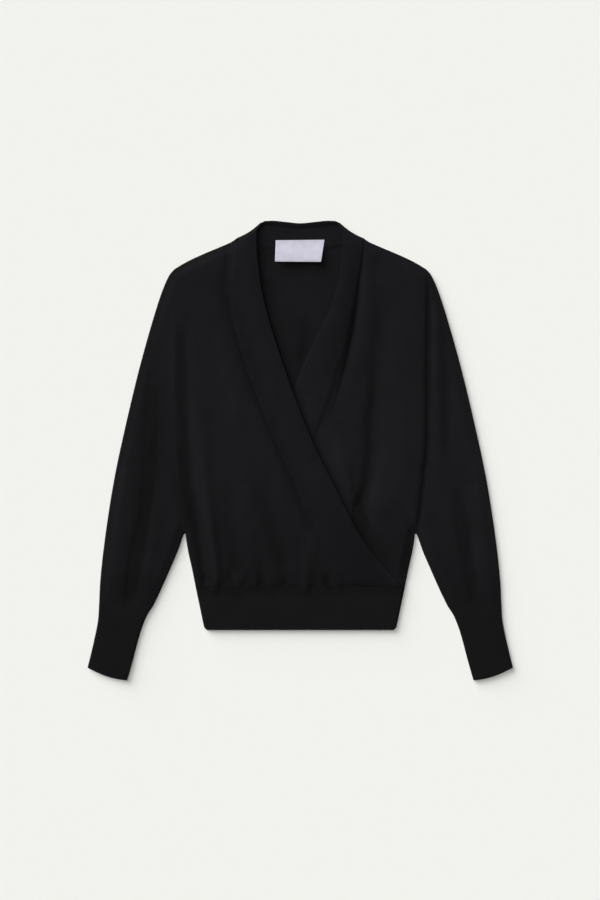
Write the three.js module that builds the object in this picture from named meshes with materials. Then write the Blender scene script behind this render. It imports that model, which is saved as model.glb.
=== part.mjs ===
// A fine-knit wrap top laid flat on its back: +X to the wearer's left, +Y towards the neck, +Z away from
// the surface. All sizes are in millimetres, and the surface that the garment lies on is z = 0.
import * as THREE from "three";

// Cloth walls, and the clearances between pieces
const jerseyWall = 1.6;
const ribWall = 2.2;
const bandWall = 3.0;
const labelWall = 1.0;
const seamGap = 0.3;
const layerGap = 0.5;

// Where a layer turns over at the outline, its middle follows a half circle of this radius. From
// `riseStart` of it inside the edge, the layer rises to its full height over `edgeRise`.
const turnRadius = 2.5;
const bandTurnRadius = 2.4;
const riseStart = 0.6;
const edgeRise = 15;

// Heights of the cloth's middle above the surface
const sleeveHeight = 7.4;
const bodyHeight = 9.2;
const bodyToSleeveX = { from: 160, to: 222 };
const hiddenFrontHeight = 3.9;
const hiddenBandHeight = 4.4;
const cuffHeight = 6.3;
const waistbandHeight = { seam: 6.2, hem: 6.1 };
const waistbandFlatY = -245;

// The fronts puff over the waistband, and the sleeves over the cuffs: they fall to the seam's height over
// these lengths. What lies further out than the underarm, less the inset, is sleeve.
const seamHeight = 6.6;
const waistFall = 26;
const cuffFall = 18;
const sleeveInset = 14;

// The crossed fronts stand a little higher round this place
const wrapSwell = { x: -25, y: -60, rise: 1.7, reachX: 85, reachY: 120 };

// Seam lines
const waistSeamY = -195.5;
const hemY = -260;
const neckPoint = { x: 91, y: 308.5 };
const hornPoint = { x: 57, y: 331 };

// The outline of the wearer's left half, in the order that a hand runs round it from the centre of the neck
const collarTop = [
  { x: 0, y: 329.4 }, { x: 18, y: 331 }, { x: 36, y: 332.9 }, { x: 48, y: 332.9 }, hornPoint,
  { x: 64.2, y: 325.8 }, { x: 78.2, y: 314.5 }, neckPoint,
];
const shoulder = [
  neckPoint, { x: 98.5, y: 303 }, { x: 111.5, y: 297 }, { x: 139.5, y: 285.2 }, { x: 164.3, y: 273.6 },
  { x: 182, y: 263.2 },
];
const sleeveOuter = [
  { x: 182, y: 263.2 }, { x: 188.5, y: 255.8 }, { x: 194.4, y: 244.6 }, { x: 204.3, y: 218.5 },
  { x: 229.8, y: 131.5 }, { x: 251.1, y: 44.5 }, { x: 269.7, y: -42.5 }, { x: 283.2, y: -129.5 },
  { x: 289.6, y: -187.5 }, { x: 291.2, y: -218.8 },
];
const cuffOuter = [
  { x: 291.2, y: -218.8 }, { x: 292.9, y: -245.5 }, { x: 298.6, y: -274.5 }, { x: 308, y: -314 },
];
const cuffEnd = [{ x: 308, y: -314 }, { x: 293.2, y: -323.5 }, { x: 267.1, y: -331 }, { x: 251, y: -332.6 }];
const cuffInner = [
  { x: 213.5, y: -225.2 }, { x: 222, y: -238.2 }, { x: 230.7, y: -260 }, { x: 242.7, y: -303.5 },
  { x: 251, y: -332.6 },
];
const sleeveInner = [
  { x: 169.5, y: -123 }, { x: 176.9, y: -144 }, { x: 189.4, y: -173 }, { x: 202.3, y: -202 },
  { x: 213.5, y: -225.2 },
];
const underarm = { x: 167.6, y: -119.5 };
const bodySide = [
  { x: 166, y: -122.5 }, { x: 162.7, y: -144 }, { x: 156.3, y: -173 }, { x: 150.5, y: -202 },
  { x: 144.4, y: -231 }, { x: 140.4, y: -250 }, { x: 138.6, y: -256.5 }, { x: 134.6, y: hemY },
];
const cuffSeam = [sleeveOuter[sleeveOuter.length - 1], sleeveInner[sleeveInner.length - 1]];
// The armhole seam runs straight between these points, and each piece sewn there has them all
const armhole = [{ x: 182, y: 263.2 }, { x: 181.6, y: 10 }, { x: 176, y: -60 }, underarm];

// The neckband's sections on the upper layer: its sewn edge (x, y), its free edge (freeX, freeY), the
// height of the free edge's middle, and how far the band bows up between its edges. The right front's band
// lies on top.
const rightBand = [
  { x: -94.5, y: 299, freeX: -62.6, freeY: 318, freeHeight: 8.4, bow: 0.6 },
  { x: -98, y: 284, freeX: -62.8, freeY: 300, freeHeight: 9.8, bow: 1 },
  { x: -100.5, y: 262, freeX: -61, freeY: 275, freeHeight: 10.4, bow: 1.4 },
  { x: -103, y: 226, freeX: -56, freeY: 236, freeHeight: 10.6, bow: 1.8 },
  { x: -97.5, y: 187, freeX: -48.5, freeY: 202, freeHeight: 10.8, bow: 1.8 },
  { x: -86, y: 144, freeX: -37, freeY: 163.4, freeHeight: 10.8, bow: 1.8 },
  { x: -70, y: 97, freeX: -22, freeY: 118, freeHeight: 10.6, bow: 1.8 },
  { x: -49, y: 42, freeX: -3, freeY: 66, freeHeight: 10.6, bow: 1.4 },
  { x: -24, y: -11, freeX: 19.5, freeY: 10, freeHeight: 10.4, bow: 1.2 },
  { x: 4, y: -79, freeX: 48, freeY: -47, freeHeight: 10, bow: 1.2 },
  { x: 30, y: -128, freeX: 72, freeY: -95, freeHeight: 9.6, bow: 1 },
  { x: 52, y: -159.5, freeX: 97, freeY: -137, freeHeight: 9, bow: 0.8 },
  { x: 68, y: -181, freeX: 122, freeY: -168, freeHeight: 7.6, bow: 0.4 },
  { x: 79.5, y: waistSeamY, freeX: 146, freeY: waistSeamY, freeHeight: 6.4, bow: 0 },
];
const leftBand = [
  { x: 92.5, y: 299, freeX: 61.5, freeY: 318, freeHeight: 8.2, bow: 0.6 },
  { x: 91, y: 282, freeX: 62.5, freeY: 300, freeHeight: 9.2, bow: 1 },
  { x: 88.5, y: 262, freeX: 61, freeY: 275, freeHeight: 9.4, bow: 1.4 },
  { x: 82.5, y: 232, freeX: 53.5, freeY: 236, freeHeight: 9.2, bow: 1.8 },
  { x: 75.5, y: 192, freeX: 41, freeY: 199, freeHeight: 9, bow: 2 },
  { x: 68.5, y: 152, freeX: 23.5, freeY: 164, freeHeight: 8.6, bow: 2 },
  { x: 57, y: 115, freeX: 6, freeY: 126, freeHeight: 7.8, bow: 1.8 },
  { x: 44, y: 72, freeX: -11, freeY: 86, freeHeight: 6.2, bow: 1 },
  { x: 22, y: 18, freeX: -28, freeY: 42, freeHeight: 4.4, bow: 0 },
  { x: -2, y: -40, freeX: -50, freeY: -12, freeHeight: 4.4, bow: 0 },
  { x: -28, y: -98, freeX: -74, freeY: -70, freeHeight: 4.4, bow: 0 },
  { x: -52, y: -150, freeX: -98, freeY: -125, freeHeight: 4.4, bow: 0 },
  { x: -68, y: -180, freeX: -116, freeY: -164, freeHeight: 4.4, bow: 0 },
  { x: -79.5, y: waistSeamY, freeX: -130, freeY: waistSeamY, freeHeight: 4.4, bow: 0 },
];
// The same band across the back of the neck, for the left half: it lies on the surface, with its free edge
// rolled up
const backBand = [
  { x: 0, y: 288, freeX: 0, freeY: 329.4 },
  { x: 24, y: 288.8, freeX: 20, freeY: 331.2 },
  { x: 47, y: 291.4, freeX: 36, freeY: 332.9 },
  { x: 66, y: 295.8, freeX: 46, freeY: 332.9 },
  { x: 80, y: 300.8, freeX: 53, freeY: 331.8 },
];
const backRollHeight = 2.6;

// Folds of the upper layer: along each the cloth rises by `rise` (or sinks, below zero) and fades over
// `reach`
const folds = {
  rightSideValley: [
    { x: -163, y: 175, rise: -1.2, reach: 9 }, { x: -161, y: 15, rise: -3, reach: 10 },
    { x: -151, y: -89, rise: -3.6, reach: 10 }, { x: -138, y: -193, rise: -2.8, reach: 7 },
  ],
  rightSideRidge: [
    { x: -146, y: 74, rise: 0.8, reach: 12 }, { x: -141, y: -14, rise: 1.8, reach: 12 },
    { x: -131, y: -89, rise: 2.2, reach: 10 }, { x: -120, y: -180, rise: 2.2, reach: 9 },
  ],
  rightSeamRidge: [{ x: -181, y: 150, rise: 1.2, reach: 7 }, { x: -181, y: 20, rise: 1, reach: 7 }],
  rightBandValley: [
    { x: -104, y: 240, rise: -2.4, reach: 13 }, { x: -91, y: 186, rise: -3.4, reach: 11 },
    { x: -67, y: 102, rise: -3.3, reach: 10 }, { x: -36, y: 24, rise: -3.2, reach: 9 },
    { x: 4, y: -74, rise: -2.6, reach: 9 }, { x: 24, y: -116, rise: -1, reach: 9 },
  ],
  rightFrontHollow: [{ x: -56, y: -42, rise: -1.5, reach: 18 }, { x: -22, y: -158, rise: -1.8, reach: 18 }],
  leftBandValley: [
    { x: 92, y: 290, rise: -1.5, reach: 7 }, { x: 85, y: 232, rise: -4, reach: 8 },
    { x: 77, y: 180, rise: -4.6, reach: 8 }, { x: 69, y: 138, rise: -4.2, reach: 9 },
    { x: 60, y: 100, rise: -3, reach: 10 }, { x: 46, y: 60, rise: -1, reach: 12 },
  ],
  leftChestValley: [
    { x: 133, y: 223, rise: 0, reach: 13 }, { x: 118, y: 187, rise: -2, reach: 12 },
    { x: 110, y: 127, rise: -3, reach: 11 }, { x: 103, y: 30, rise: -3.4, reach: 10 },
    { x: 99, y: -23, rise: -3.6, reach: 10 }, { x: 88, y: -55, rise: -4.2, reach: 10 },
    { x: 80, y: -94, rise: -4.8, reach: 11 },
  ],
  leftInnerSwell: [
    { x: 44, y: 40, rise: 1, reach: 13 }, { x: 62, y: -20, rise: 2.8, reach: 12 },
    { x: 70, y: -50, rise: 1.8, reach: 9 },
  ],
  leftOuterSwell: [
    { x: 136, y: 60, rise: 1, reach: 22 }, { x: 130, y: -14, rise: 1.9, reach: 22 },
    { x: 116, y: -75, rise: 2.4, reach: 16 },
  ],
  leftArmholeValley: [
    { x: 185, y: 233, rise: -1.2, reach: 7 }, { x: 185.5, y: 170, rise: -3.4, reach: 7 },
    { x: 185.5, y: 15, rise: -3.4, reach: 7 }, { x: 179, y: -36, rise: -3, reach: 7 },
    { x: 170, y: -112, rise: -1.6, reach: 7 },
  ],
  leftArmholeRidge: [{ x: 197, y: 215, rise: 1, reach: 7 }, { x: 198, y: 130, rise: 1, reach: 7 }],
  leftSleeveHollow: [{ x: 213, y: 175, rise: -1, reach: 12 }, { x: 213, y: 1, rise: -1.7, reach: 12 }],
  leftSleeveValley: [
    { x: 229, y: -72, rise: -1.6, reach: 9 }, { x: 238, y: -130, rise: -3, reach: 9 },
    { x: 249, y: -202, rise: -2.2, reach: 8 },
  ],
  rightSleeveValley: [
    { x: -206, y: 160, rise: -0.8, reach: 14 }, { x: -214, y: 78, rise: -2, reach: 14 },
    { x: -226, y: -14, rise: -3, reach: 13 }, { x: -236, y: -100, rise: -4, reach: 11 },
    { x: -248, y: -176, rise: -4, reach: 9 }, { x: -254, y: -214, rise: -2.4, reach: 7 },
  ],
  rightSleeveRidge: [{ x: -250, y: -42, rise: 1.8, reach: 10 }, { x: -260, y: -118, rise: 1.8, reach: 9 }],
};
// Gathers that the waistband draws up in the fronts: where each starts on the seam, how far its upper end
// leans, its length, its rise and its reach
const gathers = [
  { x: -103, lean: 5, length: 34, rise: -1.6, reach: 8 },
  { x: -88, lean: 2, length: 20, rise: 0.8, reach: 8 },
  { x: -74, lean: -2, length: 26, rise: -1.5, reach: 7 },
  { x: -55, lean: -3, length: 38, rise: -1.7, reach: 8 },
  { x: -38, lean: 2, length: 22, rise: 0.9, reach: 8 },
  { x: -20, lean: -4, length: 48, rise: -1.6, reach: 9 },
  { x: 8, lean: -3, length: 26, rise: 1.2, reach: 9 },
  { x: 26, lean: -6, length: 24, rise: -1.5, reach: 7 },
  { x: 45, lean: -9, length: 30, rise: -1.8, reach: 8 },
];

// The bare woven label, sewn by its upper edge inside the back of the neck and standing off below
const label = {
  upperLeft: { x: -35.5, y: 304.8 }, upperRight: { x: 34.4, y: 305.6 },
  lowerLeft: { x: -36.5, y: 273.4 }, lowerRight: { x: 29.4, y: 273 },
  upperHeight: bandWall + seamGap + labelWall / 2, lowerHeight: 9.2, sag: 0.5,
};

// How finely each piece is divided. `side` gives the rows up to each corner of a panel's outer edge.
const divisions = {
  front: { across: 26, side: [3, 2, 3] },
  back: { side: [3, 1, 1, 6] },
  sleeve: { stations: 16, upper: 17, lower: 6 },
  cuff: { stations: 5, upper: 11, lower: 6 },
  waistband: { stations: 6, upper: 36, lower: 12 },
  band: { run: 21, turn: 5 },
  label: { across: 6, up: 4 },
};

// Places closer than this are one and the same, and edges are told apart by this much
const samePlace = 0.01;
const nearby = 0.1;
// Where a wall is held to a slanting seam it grows by this factor at the most, however flat it lies there
const mostStretch = 1.3;
const leastLean = 0.2;

const up = new THREE.Vector3(0, 0, 1);
const clamp = THREE.MathUtils.clamp;
const mix = THREE.MathUtils.lerp;
const smooth = (from, to, value) => THREE.MathUtils.smoothstep(value, from, to);

function curveThrough(points) {
  const places = points.map((point) => new THREE.Vector3(point.x, point.y, 0));
  return new THREE.CatmullRomCurve3(places, false, "centripetal");
}

function lineThrough(points, steps) {
  return curveThrough(points).getSpacedPoints(steps);
}

// The nearest place on a plan line: its distance, where it is along the line, and on which side the point
// lies
function nearestOn(line, x, y) {
  let best = { gap: Infinity, along: 0, side: 1 };
  for (let k = 0; k + 1 < line.length; k += 1) {
    const start = line[k];
    const runX = line[k + 1].x - start.x;
    const runY = line[k + 1].y - start.y;
    const share = clamp(((x - start.x) * runX + (y - start.y) * runY) / (runX * runX + runY * runY), 0, 1);
    const offX = x - start.x - share * runX;
    const offY = y - start.y - share * runY;
    const gap = Math.hypot(offX, offY);
    if (gap < best.gap) {
      best = { gap, along: k + share, side: runX * offY - runY * offX < 0 ? -1 : 1 };
    }
  }
  return best;
}

// Reads x at a height y from points that run steadily up or down
function acrossAt(points) {
  const line = lineThrough(points, 120);
  const rising = line[line.length - 1].y > line[0].y ? line : line.slice().reverse();
  return (y) => {
    let k = 0;
    while (k < rising.length - 2 && rising[k + 1].y < y) {
      k += 1;
    }
    const share = clamp((y - rising[k].y) / (rising[k + 1].y - rising[k].y), 0, 1);
    return mix(rising[k].x, rising[k + 1].x, share);
  };
}

const halfOutline = [
  ...lineThrough(collarTop, 20), ...lineThrough(shoulder, 14), ...lineThrough(sleeveOuter, 40),
  ...lineThrough(cuffOuter, 10), ...lineThrough(cuffEnd, 6), ...lineThrough(cuffInner.slice().reverse(), 12),
  ...lineThrough(sleeveInner.slice().reverse(), 12), underarm, ...lineThrough(bodySide, 16),
  { x: 0, y: hemY },
].filter((point, k, all) => {
  const before = all[Math.max(0, k - 1)];
  return k === 0 || Math.hypot(point.x - before.x, point.y - before.y) > samePlace;
});
const freeEdge = (rows, side) => {
  const start = { x: side * hornPoint.x, y: hornPoint.y };
  return lineThrough([start, ...rows.map((row) => ({ x: row.freeX, y: row.freeY }))], 60);
};
const rightFreeEdge = freeEdge(rightBand, -1);
const leftFreeEdge = freeEdge(leftBand, 1);

// How far inside the outline the cloth's middle lies, beyond its outermost line
function inside(x, y, wall) {
  return Math.max(0, nearestOn(halfOutline, Math.abs(x), y).gap - wall / 2);
}

function turnedRise(distance) {
  const back = Math.max(0, turnRadius - distance);
  return Math.sqrt(turnRadius * turnRadius - back * back);
}

function lowerHeight(x, y, wall) {
  return wall / 2 + turnRadius - turnedRise(inside(x, y, wall));
}

function alongFold(rows, x, y) {
  const near = nearestOn(rows, x, y);
  const k = Math.min(Math.floor(near.along), rows.length - 2);
  const share = near.along - k;
  const rise = mix(rows[k].rise, rows[k + 1].rise, share);
  const reach = mix(rows[k].reach, rows[k + 1].reach, share);
  return rise * Math.exp(-((near.gap / reach) ** 2));
}

const gatherFolds = gathers.map((row) => [
  { x: row.x, y: waistSeamY, rise: row.rise, reach: row.reach },
  { x: row.x + row.lean, y: waistSeamY + row.length, rise: 0, reach: row.reach },
]);
const allFolds = [...Object.values(folds), ...gatherFolds];

// Height of the middle of the visible upper layer, from the turned edge to the full swell of the body and
// sleeves
function upperHeight(x, y, wall, swell = 0) {
  const distance = inside(x, y, wall);
  const edge = wall / 2 + turnRadius + turnedRise(distance);
  const towardsSleeve = smooth(bodyToSleeveX.from, bodyToSleeveX.to, Math.abs(x));
  const open = mix(bodyHeight, sleeveHeight, towardsSleeve) + swell;
  const onBody = Math.abs(x) < underarm.x - sleeveInset;
  const toCuff = onBody ? 0 : nearestOn(cuffSeam, Math.abs(x), y).gap;
  const above = onBody ? (y - waistSeamY) / waistFall : toCuff / cuffFall;
  const level = mix(open, seamHeight, clamp(1 - above, 0, 1) ** 2);
  const rise = allFolds.reduce((sum, rows) => sum + alongFold(rows, x, y), 0);
  const raised = edge + (level + rise - edge) * smooth(turnRadius * riseStart, edgeRise, distance);
  return Math.max(raised, Math.min(edge, wall + layerGap + wall / 2));
}

// Distances over which the left front rises out from under the right one's free edge
const uncoverOver = { from: 3, to: 24 };
// Distances from the hidden free edge over which the room for the cloth and its band starts, and the band's
// ends
const hiddenStart = { from: -14, to: -2 };
const hiddenBandEnd = { from: 54, to: 66 };
// The most by which the right front may rise over its turned edge to clear what it covers
const clearRise = 4;

// 0 where the right front covers the left one, 1 in the open
function uncovered(x, y) {
  const near = nearestOn(rightFreeEdge, x, y);
  return smooth(uncoverOver.from, uncoverOver.to, near.side * near.gap);
}

// How much room the hidden left front and its band take under the right front
function hiddenTop(x, y) {
  const near = nearestOn(leftFreeEdge, x, y);
  const from = near.side * near.gap;
  const cloth = smooth(hiddenStart.from, hiddenStart.to, from);
  const band = cloth * (1 - smooth(hiddenBandEnd.from, hiddenBandEnd.to, from));
  const clothTop = mix(jerseyWall, hiddenFrontHeight + jerseyWall / 2, cloth);
  return mix(clothTop, hiddenBandHeight + bandWall / 2, band);
}

function leftFrontHeight(x, y) {
  const shown = uncovered(x, y);
  const open = upperHeight(x, y, jerseyWall);
  const edge = jerseyWall / 2 + turnRadius + turnedRise(inside(x, y, jerseyWall));
  const covered = Math.min(edge, hiddenFrontHeight);
  return mix(covered, open, shown);
}

function rightFrontHeight(x, y) {
  const away = ((x - wrapSwell.x) / wrapSwell.reachX) ** 2 + ((y - wrapSwell.y) / wrapSwell.reachY) ** 2;
  const open = upperHeight(x, y, jerseyWall, wrapSwell.rise * Math.exp(-away));
  const distance = inside(x, y, jerseyWall);
  const edge = jerseyWall / 2 + turnRadius + turnedRise(distance);
  const cleared = hiddenTop(x, y) + layerGap + jerseyWall / 2;
  return Math.max(open, Math.min(cleared, edge + clearRise * smooth(0, edgeRise, distance)));
}

// Two triangles for a quad, cut along the diagonal that bends it less
function flatterPair(positions, a, b, c, d) {
  const corners = [a, b, c, d].map((k) => new THREE.Vector3().fromArray(positions, 3 * k));
  const [first, second, third, fourth] = corners;
  const facing = (p, q, r) => q.clone().sub(p).cross(r.clone().sub(p)).normalize();
  const oneWay = facing(first, second, third).dot(facing(first, third, fourth));
  const otherWay = facing(first, second, fourth).dot(facing(second, third, fourth));
  return oneWay >= otherWay ? [a, b, c, a, c, d] : [a, b, d, b, c, d];
}

// A wall of cloth round a grid of its middle. Each cell of the grid is { at, hold, share }: the place, the
// directions in which the wall keeps to a seam's plane, and the share of the full wall there. A ring's
// columns close on themselves.
function clothSolid(grid, wall, ring) {
  const rows = grid.length;
  const columns = grid[0].length;
  const column = (c) => (ring ? (c + columns) % columns : clamp(c, 0, columns - 1));
  const place = (r, c) => grid[clamp(r, 0, rows - 1)][column(c)].at;
  const positions = [];
  for (const side of [1, -1]) {
    for (let r = 0; r < rows; r += 1) {
      for (let c = 0; c < columns; c += 1) {
        const cell = grid[r][c];
        const along = place(r, c + 1).clone().sub(place(r, c - 1));
        const upward = place(r + 1, c).clone().sub(place(r - 1, c));
        const normal = along.cross(upward).normalize();
        for (const held of cell.hold ?? []) {
          normal.addScaledVector(held, -normal.dot(held));
        }
        const stretch = Math.min(mostStretch, 1 / Math.max(normal.length(), leastLean));
        normal.normalize().multiplyScalar((side * stretch * wall * (cell.share ?? 1)) / 2);
        const corner = cell.at.clone().add(normal);
        positions.push(corner.x, corner.y, Math.max(0, corner.z));
      }
    }
  }
  const index = [];
  const layer = rows * columns;
  const spot = (face, r, c) => face * layer + r * columns + column(c);
  const quad = (a, b, c, d) => index.push(...flatterPair(positions, a, b, c, d));
  const spans = ring ? columns : columns - 1;
  for (let r = 0; r + 1 < rows; r += 1) {
    for (let c = 0; c < spans; c += 1) {
      quad(spot(0, r, c), spot(0, r, c + 1), spot(0, r + 1, c + 1), spot(0, r + 1, c));
      quad(spot(1, r, c), spot(1, r + 1, c), spot(1, r + 1, c + 1), spot(1, r, c + 1));
    }
  }
  for (let c = 0; c < spans; c += 1) {
    quad(spot(0, 0, c), spot(1, 0, c), spot(1, 0, c + 1), spot(0, 0, c + 1));
    quad(spot(0, rows - 1, c), spot(0, rows - 1, c + 1), spot(1, rows - 1, c + 1), spot(1, rows - 1, c));
  }
  for (let r = 0; r + 1 < rows && !ring; r += 1) {
    quad(spot(0, r, 0), spot(0, r + 1, 0), spot(1, r + 1, 0), spot(1, r, 0));
    const last = columns - 1;
    quad(spot(0, r, last), spot(1, r, last), spot(1, r + 1, last), spot(0, r + 1, last));
  }
  const geometry = new THREE.BufferGeometry();
  geometry.setAttribute("position", new THREE.Float32BufferAttribute(positions, 3));
  geometry.setIndex(index);
  geometry.computeVertexNormals();
  return geometry;
}

// The level direction square to a plan run, in which a seam's wall does not lean
function squareTo(from, to) {
  return new THREE.Vector3(from.y - to.y, to.x - from.x, 0).normalize();
}

// Fills in where each edge cell of a flat-lying sheet is held: upright seams keep their plane, turned edges
// their level
function holdEdges(grid, turned) {
  const rows = grid.length;
  const columns = grid[0].length;
  const at = (r, c) => grid[clamp(r, 0, rows - 1)][clamp(c, 0, columns - 1)].at;
  grid.forEach((row, r) => {
    row.forEach((cell, c) => {
      cell.hold = [];
      if (r === 0 || r === rows - 1) {
        cell.hold.push(turned(r, c, "end") ? up : squareTo(at(r, c - 1), at(r, c + 1)));
      }
      if (c === 0 || c === columns - 1) {
        cell.hold.push(turned(r, c, "side") ? up : squareTo(at(r - 1, c), at(r + 1, c)));
      }
    });
  });
  return grid;
}

// Steps in from an edge where the cloth turns over
const turnSteps = [0, 0.35, 1.9, 7];
const turnReach = turnSteps[3];
const edgeSteps = turnSteps.slice(0, 3);
// The panels' upper corners: at the armhole, and where the shoulder meets the neckband
const shoulderTopY = 261.6;
const shoulderCornerX = 181.7;
const shoulderXs = [150, 120];
const shoulderInset = 0.9;
const necklineCorner = { x: 92.6, y: 305.8 };
const necklineInset = 0.4;
// The level distance from the neckband's sewn edge to the edge of the panel that is sewn to it
const sewnOffset = 0.34;
// How many of a front's top rows are drawn up to the shoulder's line, and over what share of its width
const shoulderRows = 7;
const shoulderEase = 0.03;
const frontWidth = 260;
// How far a front and the back stay off each other where they meet, as a share of the gap at a seam
const meetingShare = 0.75;
const underarmReach = { x: 1.2, y: 3 };

// Shares of a width: the turned edge's steps, then even ones
function sharesFrom(steps, width, count) {
  const near = steps.map((step) => step / width);
  const last = near[near.length - 1];
  const rest = count - near.length;
  return [...near, ...Array.from({ length: rest }, (_, k) => mix(last, 1, (k + 1) / rest))];
}

function evenly(from, to, count) {
  return Array.from({ length: count }, (_, k) => mix(from, to, (k + 1) / count));
}

// A place on the armhole's straight runs, at a height y
function armholeAt(y) {
  const k = clamp(armhole.filter((point) => point.y > y).length - 1, 0, armhole.length - 2);
  const [from, to] = [armhole[k], armhole[k + 1]];
  return mix(from.x, to.x, clamp((y - from.y) / (to.y - from.y), 0, 1));
}

// Heights on the outer side, from the waist seam to the shoulder: `counts` rows up to each corner of the
// seam
function outerHeights(bottom, counts) {
  const corners = [bottom, ...armhole.slice(1).reverse().map((point) => point.y), shoulderTopY - turnReach];
  const steady = counts.flatMap((count, k) => evenly(corners[k], corners[k + 1], count));
  return [bottom, ...steady, ...edgeSteps.slice().reverse().map((step) => shoulderTopY - step)];
}

// The body's edge, eased in where the shoulder seam's turned edge meets the armhole, by shares of the gap
const easing = { fromY: 250, along: 0.5, more: 1.5 };

function outerX(y, sideAt) {
  const eased = seamGap * (easing.along + easing.more * smooth(easing.fromY, shoulderTopY, y));
  return y > underarm.y - samePlace ? armholeAt(y) - eased : sideAt(y) - jerseyWall / 2;
}

// How far down the fronts (1), or up the back (-1), may come where they meet. At the underarm they lie on
// each other.
function turnedLimit(x, y, layer) {
  const atUnderarm = Math.abs(y - underarm.y) < underarmReach.y && Math.abs(x) > underarm.x - underarmReach.x;
  const apart = atUnderarm ? (jerseyWall + seamGap) / 2 : meetingShare * seamGap;
  return jerseyWall / 2 + turnRadius + layer * apart;
}

// One front: `side` is -1 for the wearer's right. Its rows run from the outer edge to a station of the
// band's seam.
function frontGrid(side, stations, heightAt) {
  const { across, side: sideRows } = divisions.front;
  const sideAt = acrossAt(bodySide);
  const shoulderAt = acrossAt(shoulder.map((point) => ({ x: point.y, y: point.x })));
  const bottom = waistSeamY + seamGap / 2;
  const shares = sharesFrom(turnSteps, frontWidth, across);
  const seamPoint = (row) => ({ x: row.x + side * sewnOffset, y: Math.max(row.y, bottom) });
  const seam = stations.map(seamPoint).reverse();
  const last = seam[seam.length - 1];
  const corner = { x: side * necklineCorner.x, y: necklineCorner.y };
  edgeSteps.slice().reverse().forEach((step) => {
    seam.push({ x: mix(corner.x, last.x, step / turnReach), y: corner.y - step });
  });
  const upper = sideRows.reduce((left, count) => left - count, stations.length - 1);
  const outer = outerHeights(bottom, [...sideRows, upper]);
  const topFrom = outer.length - shoulderRows;
  const cells = seam.map((place, r) => shares.map((share) => {
    const x = mix(side * outerX(outer[r], sideAt), place.x, share);
    const sag = shoulderAt(Math.abs(x)) - shoulderInset - mix(shoulderTopY, corner.y, share);
    const drawn = smooth(topFrom, outer.length - 1, r) * smooth(0, shoulderEase, share);
    const y = mix(outer[r], place.y, share) + sag * drawn;
    return { at: new THREE.Vector3(x, y, Math.max(turnedLimit(x, y, 1), heightAt(x, y))) };
  }));
  if (side > 0) {
    cells.forEach((row) => row.reverse());
  }
  const outerColumn = side > 0 ? across - 1 : 0;
  return holdEdges(cells, (r, c, edge) => (
    edge === "end" ? r === cells.length - 1 : c === outerColumn && cells[r][c].at.y < underarm.y - nearby
  ));
}

// The back's half rows run straight across at the waist, follow the outer edge in between, and end on the
// top edge
const backEase = { straight: 0.2, width: 0.8, height: 0.3, turned: 0.97 };

// The back is one panel: its top edge has the shoulders' points, and those of the band's seam between them
function backGrid() {
  const sideAt = acrossAt(bodySide);
  const shoulderAt = acrossAt(shoulder.map((point) => ({ x: point.y, y: point.x })));
  const bottom = waistSeamY + seamGap / 2;
  const outer = outerHeights(bottom, divisions.back.side);
  const shoulderPoints = [...turnSteps.map((step) => shoulderCornerX - step), ...shoulderXs];
  const top = [
    ...shoulderPoints.map((x) => ({ x, y: shoulderAt(x) - shoulderInset })),
    { x: necklineCorner.x, y: necklineCorner.y - necklineInset },
    ...backBand.slice().reverse().map((row) => ({ x: row.x, y: row.y - sewnOffset })),
  ];
  const bottomHalf = sideAt(bottom) - jerseyWall / 2;
  const innerX = shoulderCornerX - turnReach;
  const cells = outer.map((outerY) => {
    const share = (outerY - bottom) / (shoulderTopY - bottom);
    const edgeX = outerX(outerY, sideAt);
    const half = top.map((point) => {
      const from = shoulderCornerX - point.x;
      const turned = from < turnReach + samePlace;
      const y = mix(outerY, mix(bottom, point.y, share), smooth(backEase.height, 1, share));
      if (turned) {
        return { x: mix(edgeX - from, point.x, smooth(backEase.turned, 1, share)), y };
      }
      const straight = (point.x / shoulderCornerX) * bottomHalf;
      const stretched = (point.x / innerX) * (edgeX - turnReach);
      const x = mix(straight, stretched, smooth(0, backEase.straight, share));
      return { x: mix(x, point.x, smooth(backEase.width, 1, share)), y };
    });
    const otherHalf = half.slice(0, -1).reverse();
    const places = [...half.map(({ x, y }) => [-x, y]), ...otherHalf.map(({ x, y }) => [x, y])];
    return places.map(([x, y]) => (
      { at: new THREE.Vector3(x, y, Math.min(turnedLimit(x, y, -1), lowerHeight(x, y, jerseyWall))) }
    ));
  });
  return holdEdges(cells, (r, c, edge) => {
    const { x, y } = cells[r][c].at;
    if (edge === "end") {
      return r === cells.length - 1 && Math.abs(x) > necklineCorner.x + nearby;
    }
    return y < underarm.y - nearby;
  });
}

// At the least, a tube's layers part this share as fast as the distance inside its edges
const leastTurn = 0.6;
// The walls taper to this share at an open end
const openEndWall = 0.55;
// A ring's own direction is read this share of its width to either side
const ringStep = 0.02;
// An edge that crosses a ring at a slant is drawn in further, but not past this
const leastSlant = 0.4;

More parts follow.
